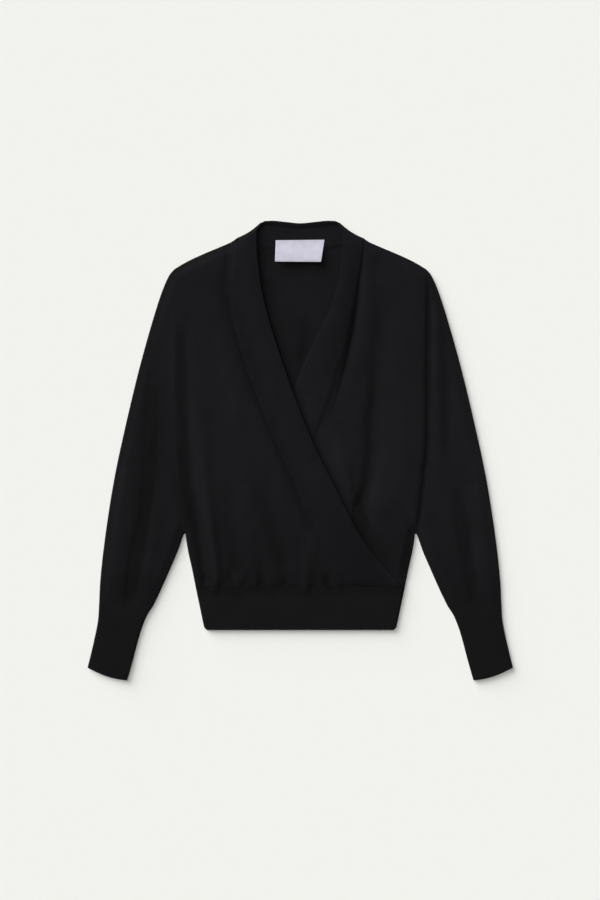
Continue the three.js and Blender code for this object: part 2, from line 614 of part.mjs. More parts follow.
// Rings round a flattened tube. `plan(along, across)` gives the level place, across from 0 to 1 between its
// two edges.
function tubeGrid({ stations, upper, lower, wall, plan, heightAt, widthAt, shareAt, reverse, corners = [] }) {
  const spread = (count, near) => evenly(near, 1 - near, count + 1).slice(0, -1).map((share) => (
    corners.find((corner) => Math.abs(corner - share) < 0.5 / (count + 1)) ?? share
  ));
  return stations.map((along, r) => {
    const width = widthAt(along);
    const near = edgeSteps.map((step) => step / width);
    const upperShares = [...near, ...spread(upper, near[2]), ...near.map((share) => 1 - share).reverse()];
    const lowerNear = near.slice(1);
    const lowerFar = lowerNear.map((share) => 1 - share).reverse();
    const lowerShares = [...lowerNear, ...spread(lower, near[2]), ...lowerFar].reverse();
    const edge = r === 0 || r === stations.length - 1;
    const cell = (share, isUpper) => {
      const { x, y } = plan(along, share);
      const middle = wall / 2 + turnRadius;
      const least = turnedRise(leastTurn * width * Math.min(share, 1 - share));
      const above = () => Math.max(heightAt(x, y), middle + least);
      const below = () => Math.min(lowerHeight(x, y, wall), middle - least);
      const z = share === 0 || share === 1 ? middle : (isUpper ? above : below)();
      const at = new THREE.Vector3(x, y, z);
      const shares = [Math.max(0, share - ringStep), Math.min(1, share + ringStep)];
      const beside = shares.map((either) => plan(along, either));
      return { at, hold: edge ? [squareTo(...beside)] : [], share: shareAt ? shareAt(along) : 1 };
    };
    const upperCells = upperShares.map((share) => cell(share, true));
    const row = [...upperCells, ...lowerShares.map((share) => cell(share, false))];
    return reverse ? row.reverse() : row;
  });
}

function between(first, second, share) {
  return { x: mix(first.x, second.x, share), y: mix(first.y, second.y, share) };
}

// Places across a tube whose two edges are curves, drawn in from the outline by half the wall
function tubePlan(outer, inner, side, wall, bulgeAt) {
  return (along, across) => {
    const first = outer.getPointAt(along);
    const second = inner.getPointAt(along);
    const run = second.clone().sub(first);
    const width = run.length();
    const slant = (edge) => Math.max(leastSlant, Math.abs(run.x * edge.y - run.y * edge.x) / width);
    const from = wall / 2 / slant(outer.getTangentAt(along)) / width;
    const to = 1 - wall / 2 / slant(inner.getTangentAt(along)) / width;
    const share = mix(from, to, across);
    const place = between(first, second, share);
    const bulge = bulgeAt(along, share);
    return { x: side * (place.x + bulge.x), y: place.y + bulge.y };
  };
}

// A sleeve's rings lie closer near the armhole, and its last one stops short of the cuff by a share of its
// length
const sleeveSpacing = 1.5;
const sleeveSeamShare = 0.0006;

function sleeveGrid(side) {
  const outer = curveThrough(sleeveOuter);
  const inner = curveThrough([underarm, ...sleeveInner]);
  const top = armhole[0];
  const foot = armhole[armhole.length - 1];
  const bulgeAt = (along, share) => {
    const straight = between(top, foot, share);
    const fade = (1 - along) ** 2;
    return { x: (armholeAt(straight.y) - straight.x) * fade + (seamGap / 2) * (1 - along), y: 0 };
  };
  const { stations, upper, lower } = divisions.sleeve;
  const alongs = Array.from({ length: stations }, (_, k) => (k / (stations - 1)) ** sleeveSpacing);
  alongs[stations - 1] = 1 - sleeveSeamShare;
  const plan = tubePlan(outer, inner, side, jerseyWall, bulgeAt);
  const [first, last] = [plan(0, 0), plan(0, 1)];
  const corners = armhole.slice(1, -1).map((point) => (point.y - first.y) / (last.y - first.y));
  return tubeGrid({
    stations: alongs, upper, lower, wall: jerseyWall, plan, corners, reverse: side < 0,
    widthAt: (along) => outer.getPointAt(along).distanceTo(inner.getPointAt(along)),
    heightAt: (x, y) => upperHeight(x, y, jerseyWall),
  });
}

// The cuff starts just below the sleeve's end, has one more ring near its open end, and its end bows
// outwards. Its open end, below `openY`, is no turned edge: distances there are read at `openY` at the
// lowest.
const cuff = { seamShare: 0.003, nearEnd: 0.975, bow: 3.5, openY: -300 };

function cuffGrid(side) {
  const outer = curveThrough(cuffOuter);
  const inner = curveThrough(cuffInner);
  const bulgeAt = (along, share) => ({ x: 0, y: -cuff.bow * along * Math.sin(Math.PI * share) });
  const { stations, upper, lower } = divisions.cuff;
  const alongs = Array.from({ length: stations }, (_, k) => mix(cuff.seamShare, 1, k / (stations - 1)));
  alongs.splice(stations - 1, 0, cuff.nearEnd);
  const plan = tubePlan(outer, inner, side, ribWall, bulgeAt);
  const level = (x, y) => {
    const distance = inside(x, Math.max(y, cuff.openY), ribWall);
    const edge = ribWall / 2 + turnRadius + turnedRise(distance);
    return mix(edge, Math.max(edge, cuffHeight), smooth(turnRadius, edgeRise, distance));
  };
  return tubeGrid({
    stations: alongs, upper, lower, wall: ribWall, plan, reverse: side < 0,
    widthAt: (along) => outer.getPointAt(along).distanceTo(inner.getPointAt(along)),
    heightAt: level,
    shareAt: (along) => (along === 1 ? openEndWall : 1),
  });
}

// The waistband is about this wide, its rings lie close at the hem, and it takes up this share of the
// gathers near the seam
const waistband = { width: 280, hemShares: [0, 0.05, 0.16], ripple: 0.35, rippleFromY: -225, hemClear: 0.2 };

function waistbandGrid() {
  const { stations, upper, lower } = divisions.waistband;
  const edgeAt = acrossAt(bodySide);
  const top = waistSeamY - seamGap / 2;
  const hemShares = waistband.hemShares.slice(0, -1);
  const steady = stations - hemShares.length;
  const evenFrom = waistband.hemShares[hemShares.length];
  const evenShares = Array.from({ length: steady }, (_, k) => mix(evenFrom, 1, k / (steady - 1)));
  const halfAt = (y) => edgeAt(Math.max(y, hemY + waistband.hemClear)) - ribWall / 2;
  const distanceAt = (x, y) => Math.max(0, halfAt(y) - Math.abs(x));
  const plan = (along, across) => {
    const y = mix(hemY, top, along);
    return { x: mix(-halfAt(y), halfAt(y), across), y };
  };
  const level = (x, y) => {
    const distance = distanceAt(x, y);
    const edge = ribWall / 2 + turnRadius + turnedRise(distance);
    const full = mix(waistbandHeight.hem, waistbandHeight.seam, smooth(waistbandFlatY, waistSeamY, y));
    const puckers = gatherFolds.reduce((sum, rows) => sum + alongFold(rows, x, y), 0);
    const ripple = waistband.ripple * puckers * smooth(waistband.rippleFromY, waistSeamY, y);
    return edge + (Math.max(edge, full) - edge + ripple) * smooth(turnRadius, edgeRise, distance);
  };
  const grid = tubeGrid({
    stations: [...hemShares, ...evenShares], upper, lower, wall: ribWall, plan, reverse: false,
    widthAt: () => waistband.width, heightAt: level, shareAt: (along) => (along === 0 ? openEndWall : 1),
  });
  grid.forEach((row) => row.forEach((cell) => {
    if (cell.at.z < ribWall / 2 + turnRadius) {
      cell.at.z = ribWall / 2 + turnRadius - turnedRise(distanceAt(cell.at.x, cell.at.y));
    }
  }));
  return grid;
}

// The neckband is one long strip: up the right front, round the back of the neck, and down the left front
const bandShares = [0, 0.14, 0.36, 0.6, 0.8, 0.93, 1];
const bandEdgeWall = [1, 1, 1, 1, 1, 0.9, 0.5];
// Across the back, the band rolls up over the last part of its width
const rollFrom = 0.78;
// Where the band turns over at the side of the neck: the share of the half circle that it takes, and how
// far it hollows
const bandTurn = { share: 0.92, hollow: 2.2 };

// Sections of the band at even distances along the middle of its run down a front
function bandStations(rows) {
  const middle = rows.map((row) => new THREE.Vector3((row.x + row.freeX) / 2, (row.y + row.freeY) / 2, 0));
  const route = new THREE.CatmullRomCurve3(middle, false, "centripetal");
  const last = rows.length - 1;
  return Array.from({ length: divisions.band.run }, (_, k) => {
    const exact = route.getUtoTmapping(k / (divisions.band.run - 1)) * last;
    const near = Math.min(last - 1, Math.floor(exact));
    const share = exact - near;
    const at = (offset) => rows[clamp(near + offset, 0, last)];
    return Object.fromEntries(Object.keys(rows[0]).map((name) => {
      const [before, from, to, after] = [-1, 0, 1, 2].map((offset) => at(offset)[name]);
      const square = (2 * before - 5 * from + 4 * to - after) * share ** 2;
      const bend = square + (3 * from - before - 3 * to + after) * share ** 3;
      return [name, from + 0.5 * ((to - before) * share + bend)];
    }));
  });
}

function bandRun(stations, heightAt, liftAt) {
  return stations.map((row) => {
    const sewnHeight = heightAt(row.x, row.y) + (bandWall - jerseyWall) / 2;
    return bandShares.map((share, c) => {
      const x = mix(row.x, row.freeX, share);
      const y = mix(row.y, row.freeY, share);
      const bow = row.bow * Math.sin(Math.PI * share);
      const wanted = mix(sewnHeight, row.freeHeight, smooth(0, 1, share)) + bow;
      return { at: new THREE.Vector3(x, y, liftAt(x, y, wanted)), share: bandEdgeWall[c] };
    });
  });
}

function bandBackRows(side) {
  const rows = backBand.map((row) => bandShares.map((share, c) => {
    const roll = backRollHeight * smooth(rollFrom, 1, share);
    const x = side * mix(row.x, row.freeX, share);
    const at = new THREE.Vector3(x, mix(row.y, row.freeY, share), bandWall / 2 + roll);
    return { at, share: bandEdgeWall[c] };
  }));
  return side < 0 ? rows.reverse() : rows.slice(1);
}

// Where the strip turns over at the side of the neck, its middle runs round a half circle
function bandTurnRows(side) {
  const axis = new THREE.Vector3(hornPoint.x - neckPoint.x, hornPoint.y - neckPoint.y, 0);
  const inward = new THREE.Vector3(axis.y, -axis.x, 0).normalize().negate();
  const { turn } = divisions.band;
  return Array.from({ length: turn }, (_, k) => {
    const angle = mix(Math.PI / 2, -Math.PI / 2, (k + 0.5) / turn) * bandTurn.share;
    return bandShares.map((share, c) => {
      const hollow = bandTurn.hollow * Math.sin(Math.PI * share);
      const from = bandWall / 2 + bandTurnRadius * (1 - Math.cos(angle)) + hollow;
      const x = mix(neckPoint.x, hornPoint.x, share) + inward.x * from;
      const y = mix(neckPoint.y, hornPoint.y, share) + inward.y * from;
      const roll = backRollHeight * smooth(rollFrom, 1, share) * smooth(0, Math.PI / 2, -angle);
      const z = bandWall / 2 + bandTurnRadius * (1 + Math.sin(angle)) + roll;
      return { at: new THREE.Vector3(side * x, y, z), share: bandEdgeWall[c] };
    });
  });
}

function neckbandGrid() {
  const overRows = bandRun(rightStations, rightFrontHeight, (x, y, wanted) => (
    Math.max(wanted, hiddenTop(x, y) + layerGap + bandWall / 2)
  )).reverse();
  const underRows = bandRun(leftStations, leftFrontHeight, (x, y, wanted) => (
    mix(hiddenBandHeight, wanted, uncovered(x, y))
  ));
  const grid = [
    ...overRows, ...bandTurnRows(-1), ...bandBackRows(-1),
    ...bandBackRows(1), ...bandTurnRows(1).reverse(), ...underRows,
  ];
  const last = grid.length - 1;
  grid.forEach((row, r) => {
    const before = grid[Math.max(0, r - 1)][0].at;
    const after = grid[Math.min(last, r + 1)][0].at;
    row[0].hold = [squareTo(before, after)];
    if (r === 0 || r === last) {
      row.forEach((cell) => {
        cell.at.y = waistSeamY + seamGap / 2;
        cell.hold = [...(cell.hold ?? []), new THREE.Vector3(0, 1, 0)];
      });
    }
  });
  return grid;
}

function labelGrid() {
  const { across, up: rowsUp } = divisions.label;
  return Array.from({ length: rowsUp }, (_, r) => {
    const v = r / (rowsUp - 1);
    return Array.from({ length: across }, (_, c) => {
      const u = c / (across - 1);
      const lower = between(label.lowerLeft, label.lowerRight, u);
      const upper = between(label.upperLeft, label.upperRight, u);
      const place = between(lower, upper, v);
      const sag = label.sag * Math.sin(Math.PI * u) * (1 - v);
      const z = mix(label.lowerHeight, label.upperHeight, smooth(0, 1, v)) - sag;
      return { at: new THREE.Vector3(place.x, place.y, z) };
    });
  });
}

const rightStations = bandStations(rightBand);
const leftStations = bandStations(leftBand);
const knit = { color: 0x1a1a1e, roughness: 0.95, metalness: 0 };
const finishes = {
  jersey: new THREE.MeshStandardMaterial(knit),
  rib: new THREE.MeshStandardMaterial({ ...knit, color: 0x18181b }),
  band: new THREE.MeshStandardMaterial({ ...knit, color: 0x1c1c20 }),
  label: new THREE.MeshStandardMaterial({ color: 0xc6c4d2, roughness: 0.8, metalness: 0 }),
};

const garment = new THREE.Group();

function addPiece(name, grid, wall, finish, ring = false) {
  const mesh = new THREE.Mesh(clothSolid(grid, wall, ring), finish);
  mesh.name = name;
  garment.add(mesh);
}

addPiece("back", backGrid(), jerseyWall, finishes.jersey);
addPiece("front_right", frontGrid(-1, rightStations, rightFrontHeight), jerseyWall, finishes.jersey);
addPiece("front_left", frontGrid(1, leftStations, leftFrontHeight), jerseyWall, finishes.jersey);
for (const [name, side] of [["right", -1], ["left", 1]]) {
  addPiece(`sleeve_${name}`, sleeveGrid(side), jerseyWall, finishes.jersey, true);
  addPiece(`cuff_${name}`, cuffGrid(side), ribWall, finishes.rib, true);
}
addPiece("waistband", waistbandGrid(), ribWall, finishes.rib, true);
addPiece("neckband", neckbandGrid(), bandWall, finishes.band);
addPiece("label", labelGrid(), labelWall, finishes.label);

export default garment;
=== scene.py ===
import logging
import math
from dataclasses import dataclass, field
from enum import Enum
from typing import Callable, Sequence

import bpy
import numpy as np
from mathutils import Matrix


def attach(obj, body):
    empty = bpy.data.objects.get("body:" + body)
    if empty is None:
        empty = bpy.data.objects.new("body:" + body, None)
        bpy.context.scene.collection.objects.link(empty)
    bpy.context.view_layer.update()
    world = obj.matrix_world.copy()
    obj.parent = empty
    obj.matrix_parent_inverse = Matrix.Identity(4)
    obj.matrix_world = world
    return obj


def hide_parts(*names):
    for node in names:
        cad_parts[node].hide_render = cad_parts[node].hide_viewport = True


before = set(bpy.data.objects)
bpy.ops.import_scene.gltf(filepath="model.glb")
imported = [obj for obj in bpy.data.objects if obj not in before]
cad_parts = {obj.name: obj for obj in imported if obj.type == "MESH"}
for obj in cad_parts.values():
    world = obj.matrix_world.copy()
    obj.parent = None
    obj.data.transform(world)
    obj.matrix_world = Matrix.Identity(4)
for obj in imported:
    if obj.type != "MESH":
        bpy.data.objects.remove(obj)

Array = np.ndarray
Socket = bpy.types.NodeSocket
Height = Callable[[Array, Array], Array]
Plan = Callable[[Array, Array], Array]

MM = 0.001
LOG = logging.getLogger("wrap_top")


class Side(Enum):
    """The wearer's side that a piece is on, as the sign of its X."""

    RIGHT = -1
    LEFT = 1


class Edge(Enum):
    """How a sheet ends: sewn to a neighbour, turned over at the outline, or open."""

    SEWN = "sewn"
    TURNED = "turned"
    OPEN = "open"


# Plain geometry

# Keeps a division by the length of a step that has none finite
NOTHING = 1e-9
UPRIGHT = np.array([0.0, 0.0, 1.0])


def mix(low: Array | float, high: Array | float, share: Array | float) -> Array | float:
    """Return the value that lies `share` of the way from `low` to `high`."""
    return low + (high - low) * share


def smooth(low: float, high: float, value: Array | float) -> Array:
    """Return 0 below `low`, 1 above `high`, and an eased rise between them."""
    share = np.clip((np.asarray(value, float) - low) / (high - low), 0, 1)
    return share * share * (3 - 2 * share)


def unit(run: Array) -> Array:
    """Return runs scaled to a length of one."""
    return run / np.maximum(np.linalg.norm(run, axis=-1, keepdims=True), NOTHING)


def running(steps: Array) -> Array:
    """Return the running total of steps, from 0."""
    return np.concatenate([[0], np.cumsum(steps)])


def spans(line: Array) -> Array:
    """Return the lengths of a plan line's straight steps."""
    return np.hypot(*np.diff(line, axis=0).T)


def spline(values: Array, knots: Array, where: Array) -> Array:
    """Read a smooth curve through values at places along it.

    Args:
        values: what the curve passes through, one row for each knot.
        knots: rising places of those rows.
        where: the places to read.

    Returns:
        One row for each place.
    """
    shape = (-1,) + (1,) * (values.ndim - 1)
    steps = np.diff(knots).reshape(shape)
    slopes = np.diff(values, axis=0) / steps
    before, after = steps[:-1], steps[1:]
    inner = (slopes[:-1] * after + slopes[1:] * before) / (before + after)
    tangents = np.concatenate([slopes[:1], inner, slopes[-1:]])
    k = np.clip(np.searchsorted(knots, where, side="right") - 1, 0, len(knots) - 2)
    width = (knots[k + 1] - knots[k]).reshape(shape)
    t = ((where - knots[k]) / (knots[k + 1] - knots[k])).reshape(shape)
    start, end = values[k], values[k + 1]
    lean, reach = tangents[k] * width, tangents[k + 1] * width
    bend = (3 * (end - start) - 2 * lean - reach) * t**2
    return start + lean * t + bend + (2 * (start - end) + lean + reach) * t**3


def spaced(length: float, start: Sequence[float], end: Sequence[float], count: int) -> Array:
    """Divide a length finely near its two ends and evenly between them.

    Args:
        length: the length to divide.
        start: rising distances from the first end, from 0.
        end: rising distances from the last end, from 0.
        count: how many places to return.

    Returns:
        Rising distances from 0 to `length`.
    """
    even = np.linspace(start[-1], length - end[-1], count - len(start) - len(end) + 2)
    return np.concatenate([np.asarray(start[:-1]), even, length - np.asarray(end[:-1])[::-1]])


def divided(
    line: Array, start: Sequence[float], end: Sequence[float], count: int,
) -> tuple[Array, Array]:
    """Divide a plan line finely near its two ends and evenly between them.

    Args:
        line: the line's (x, y) points.
        start: rising distances from its first end, from 0.
        end: rising distances from its last end, from 0.
        count: how many places to return.

    Returns:
        The places, and their distances along the line.
    """
    lengths = spans(line)
    distances = spaced(float(lengths.sum()), start, end, count)
    steps = running(lengths)
    return np.stack([np.interp(distances, steps, line[:, k]) for k in range(2)], axis=-1), distances


class Route:
    """A smooth line in plan through given points."""

    tangent_parts = 400

    def __init__(self, points: Sequence[Sequence[float]], per_span: int = 16) -> None:
        """Draw the line.

        Args:
            points: (x, y) of each point, in millimetres.
            per_span: how many straight steps each span is drawn with.
        """
        given = np.asarray(points, float)[:, :2]
        knots = running(np.sqrt(spans(given)))
        self.stations = np.linspace(0, len(given) - 1, per_span * (len(given) - 1) + 1)
        self.line = spline(given, knots, np.interp(self.stations, np.arange(len(given)), knots))
        self.lengths = running(spans(self.line))
        self.length = float(self.lengths[-1])

    def at(self, distance: Array) -> Array:
        """Return the (x, y) places at distances along the line."""
        return np.stack([np.interp(distance, self.lengths, self.line[:, k]) for k in range(2)], axis=-1)

    def tangent(self, distance: Array) -> Array:
        """Return the unit directions of the line at distances along it."""
        step = self.length / self.tangent_parts
        return unit(self.at(np.minimum(distance + step, self.length)) - self.at(np.maximum(distance - step, 0)))

    def station(self, distance: Array) -> Array:
        """Return which of the given points each distance lies by, with its fraction."""
        return np.interp(distance, self.lengths, self.stations)


def nearest(line: Array, marks: Array, x: Array, y: Array) -> tuple[Array, Array, Array]:
    """Find the nearest place on a plan line for each point.

    Args:
        line: the line's (x, y) points.
        marks: a value at each of them, read between them.
        x: the points' x.
        y: the points' y.

    Returns:
        The distance, the mark there, and the side: 1 to the left of the line's run, -1 to its right.
    """
    best = np.full(np.shape(x), np.inf)
    mark = np.zeros(np.shape(x))
    side = np.ones(np.shape(x))
    for start, end, low, high in zip(line[:-1], line[1:], marks[:-1], marks[1:]):
        run = end - start
        square = max(float(run @ run), NOTHING)
        share = np.clip(((x - start[0]) * run[0] + (y - start[1]) * run[1]) / square, 0, 1)
        off_x, off_y = x - start[0] - share * run[0], y - start[1] - share * run[1]
        gap = np.hypot(off_x, off_y)
        closer = gap < best
        best = np.where(closer, gap, best)
        mark = np.where(closer, low + (high - low) * share, mark)
        side = np.where(closer, np.where(run[0] * off_y - run[1] * off_x < 0, -1.0, 1.0), side)
    return best, mark, side


def gap_and_side(line: Array, x: Array, y: Array) -> tuple[Array, Array]:
    """Return how far each point is from a plan line, and on which side: 1 to the left of its run, -1 to its right."""
    gap, _, side = nearest(line, np.zeros(len(line)), x, y)
    return gap, side


# Sizes that the whole garment shares, in millimetres


@dataclass(frozen=True)
class Walls:
    """Thicknesses of the cloths."""

    jersey: float = 1.6
    rib: float = 2.2
    band: float = 3.0
    label: float = 0.45


@dataclass(frozen=True)
class Outline:
    """The outline and seams of the wearer's left half."""

    waist_seam_y: float = -195.5
    hem_y: float = -259.5
    shoulder_top_y: float = 261.6
    seam_gap: float = 0.02
    neck_point: tuple = (91.0, 308.5)
    horn_point: tuple = (57.0, 331.0)
    neck_corner: tuple = (90.9, 307.4)
    underarm: tuple = (167.6, -119.5)
    sleeve_parts: int = 8
    lower_parts: int = 6
    least_step: float = 0.01
    side_points: int = 400
    shoulder_points: int = 120
    shoulder_inset: float = 0.9
    collar_top: tuple = (
        (0, 329.4), (18, 331), (36, 332.9), (48, 332.9), (57, 331), (64.2, 325.8), (78.2, 314.5),
        (91, 308.5),
    )
    shoulder: tuple = (
        (91, 308.5), (98.5, 303), (111.5, 297), (139.5, 285.2), (164.3, 273.6), (182, 263.2),
    )
    sleeve_outer: tuple = (
        (182, 263.2), (188.5, 255.8), (194.4, 244.6), (204.3, 218.5), (229.8, 131.5), (251.1, 44.5),
        (269.7, -42.5), (283.2, -129.5), (289.6, -187.5), (291.2, -218.8),
    )
    cuff_outer: tuple = ((291.2, -218.8), (292.9, -245.5), (298.6, -274.5), (308, -314))
    cuff_end: tuple = ((308, -314), (293.2, -323.5), (267.1, -331), (251, -332.6))
    cuff_inner: tuple = ((213.5, -225.2), (222, -238.2), (230.7, -260), (242.7, -303.5), (251, -332.6))
    sleeve_inner: tuple = ((169.5, -123), (176.9, -144), (189.4, -173), (202.3, -202), (213.5, -225.2))
    body_side: tuple = (
        (166, -122.5), (162.7, -144), (156.3, -173), (150.5, -202), (144.4, -231), (140.4, -250),
        (138.6, -256.3), (134.6, -259.5),
    )
    armhole: tuple = ((182, 263.2), (181.6, 10), (176, -60), (167.6, -119.5))

    def half(self) -> Array:
        """Return the whole outline of the half, as one plan line."""
        upper = [Route(line).line for line in (self.collar_top, self.shoulder)]
        sleeve = [Route(self.sleeve_outer, self.sleeve_parts).line]
        for line in (self.cuff_outer, self.cuff_end, self.cuff_inner[::-1], self.sleeve_inner[::-1]):
            sleeve.append(Route(line, self.lower_parts).line)
        body = [np.array([self.underarm]), Route(self.body_side, self.lower_parts).line, np.array([[0, self.hem_y]])]
        line = np.concatenate(upper + sleeve + body)
        apart = spans(line) > self.least_step
        return line[np.concatenate([[True], apart])]

    def side_x(self, y: Array) -> Array:
        """Return the body's outermost x at heights below the underarm."""
        line = Route(self.body_side).line[::-1]
        return np.interp(y, line[:, 1], line[:, 0])

    def armhole_x(self, y: Array) -> Array:
        """Return the armhole seam's x at heights above the underarm."""
        line = np.asarray(self.armhole, float)[::-1]
        return np.interp(y, line[:, 1], line[:, 0])

    def shoulder_y(self, x: Array) -> Array:
        """Return the shoulder's height at an x."""
        line = Route(self.shoulder).line
        return np.interp(x, line[:, 0], line[:, 1])

    def panel_side(self, wall: float) -> Array:
        """Return a panel's outer edge from the waist seam up to the shoulder, as a plan line."""
        ys = np.linspace(self.waist_seam_y + self.seam_gap, self.shoulder_top_y, self.side_points)
        body = self.side_x(ys) - wall / 2
        return np.stack([np.where(ys > self.underarm[1], self.armhole_x(ys) - self.seam_gap, body), ys], axis=-1)

    def panel_shoulder(self, start: Array) -> Array:
        """Return a panel's upper edge from its outer corner to the neck's corner, as a plan line."""
        xs = np.linspace(start[0], self.neck_corner[0], self.shoulder_points)
        line = np.stack([xs, self.shoulder_y(xs) - self.shoulder_inset], axis=-1)
        line[0] = start
        return line


@dataclass(frozen=True)
class BandCut:
    """The neckband's sections: sewn edge (x, y), free edge (x, y), its height, and the bow between the edges."""

    free_parts: int = 6

    right: tuple = (
        (-94.5, 299, -62.6, 318, 8.4, 0.6), (-98, 284, -62.8, 300, 9.8, 1.0),
        (-100.5, 262, -61, 275, 10.4, 1.4),
        (-103, 226, -56, 236, 10.6, 1.8), (-97.5, 187, -48.5, 202, 10.8, 1.8),
        (-86, 144, -37, 163.4, 10.8, 1.8),
        (-70, 97, -22, 118, 10.6, 1.8), (-49, 42, -3, 66, 10.6, 1.4), (-24, -11, 19.5, 10, 10.4, 1.2),
        (4, -79, 48, -47, 10.0, 1.2), (30, -128, 72, -95, 9.6, 1.0), (52, -159.5, 97, -137, 9.0, 0.8),
        (68, -181, 122, -168, 7.6, 0.4), (79.5, -195.5, 146, -195.5, 6.4, 0.0),
    )
    left: tuple = (
        (92.5, 299, 61.5, 318, 8.2, 0.6), (91, 282, 62.5, 300, 9.2, 1.0), (88.5, 262, 61, 275, 9.4, 1.4),
        (82.5, 232, 53.5, 236, 9.2, 1.8), (75.5, 192, 41, 199, 9.0, 2.0), (68.5, 152, 23.5, 164, 8.6, 2.0),
        (57, 115, 6, 126, 7.8, 1.8), (44, 72, -11, 86, 6.2, 1.0), (22, 18, -28, 42, 4.4, 0.0),
        (-2, -40, -50, -12, 4.4, 0.0), (-28, -98, -74, -70, 4.4, 0.0), (-52, -150, -98, -125, 4.4, 0.0),
        (-68, -180, -116, -164, 4.4, 0.0), (-79.5, -195.5, -130, -195.5, 4.4, 0.0),
    )
    back: tuple = (
        (0, 288, 0, 329.4), (24, 288.8, 20, 331.2), (47, 291.4, 36, 332.9), (66, 295.8, 46, 332.9),
        (80, 300.8, 53, 331.8),
    )

    def sections(self, rows: tuple, count: int) -> Array:
        """Return sections at even distances down a front.

        Args:
            rows: the table of that side's sections.
            count: how many sections to return.

        Returns:
            One row for each section, with the table's columns.
        """
        table = np.asarray(rows, float)
        middle = Route((table[:, 0:2] + table[:, 2:4]) / 2)
        stations = middle.station(np.linspace(0, middle.length, count))
        return spline(table, np.arange(len(table), dtype=float), stations)

    def free_edge(self, rows: tuple, horn: tuple) -> Array:
        """Return a side's free edge from the collar's horn down, as a plan line."""
        table = np.asarray(rows, float)
        start = (math.copysign(horn[0], table[0, 2]), horn[1])
        return Route([start, *table[:, 2:4]], self.free_parts).line


# Folds

# A fold is left out beyond this many times its reach
FADED = 3.2
FOLD_PARTS = 5


@dataclass(frozen=True)
class Fold:
    """A ridge or a trough along a line of (x, y, rise, reach): above zero it rises, below zero it sinks.

    `left` scales the reach on the left-hand side of the line's run, and `core` is the share of the rise that
    is held in a narrow line along the middle.
    """

    points: tuple
    left: float = 1.0
    core: float = 0.0
    core_reach: float = 2.6

    def height(self, x: Array, y: Array) -> Array:
        """Return how far the fold lifts the cloth at each place."""
        table = np.asarray(self.points, float)
        route = Route(table, FOLD_PARTS)
        far = FADED * max(1.0, self.left) * table[:, 3].max()
        low, high = route.line.min(axis=0) - far, route.line.max(axis=0) + far
        near = (x > low[0]) & (x < high[0]) & (y > low[1]) & (y < high[1])
        total = np.zeros(np.shape(x))
        if near.any():
            total[near] = self.profile(table, route, x[near], y[near])
        return total

    def profile(self, table: Array, route: Route, x: Array, y: Array) -> Array:
        """Return the lift at places near the fold.

        Args:
            table: the fold's points.
            route: the line through them.
            x: the places' x.
            y: their y.

        Returns:
            The lift at each place.
        """
        gap, station, side = nearest(route.line, route.stations, x, y)
        columns = np.arange(len(table))
        rise = np.interp(station, columns, table[:, 2])
        reach = np.interp(station, columns, table[:, 3]) * np.where(side > 0, self.left, 1.0)
        broad = np.exp(-((gap / reach) ** 2))
        if not self.core:
            return rise * broad
        return rise * mix(broad, np.exp(-((gap / self.core_reach) ** 2)), self.core)


# A gather from below the seam to its top: its start from the seam in millimetres, then shares of its lean,
# length, rise and reach
GATHER_COURSE = ((-12, -0.2, 0, 0, 1), (-1, 0, 0, 1, 1), (0, 0.45, 0.45, 0.55, 1.15), (0, 1, 1, 0, 1.4))


@dataclass(frozen=True)
class Gather:
    """A short pucker that the waistband draws up: its place on the seam, its top's lean, its length, rise and reach."""

    x: float
    lean: float
    length: float
    rise: float
    reach: float

    def fold(self, seam_y: float) -> Fold:
        """Return the pucker as a fold that starts just below the seam and fades out above it."""
        return Fold(tuple(
            (self.x + lean * self.lean, seam_y + start + up * self.length, rise * self.rise, reach * self.reach)
            for start, lean, up, rise, reach in GATHER_COURSE
        ))


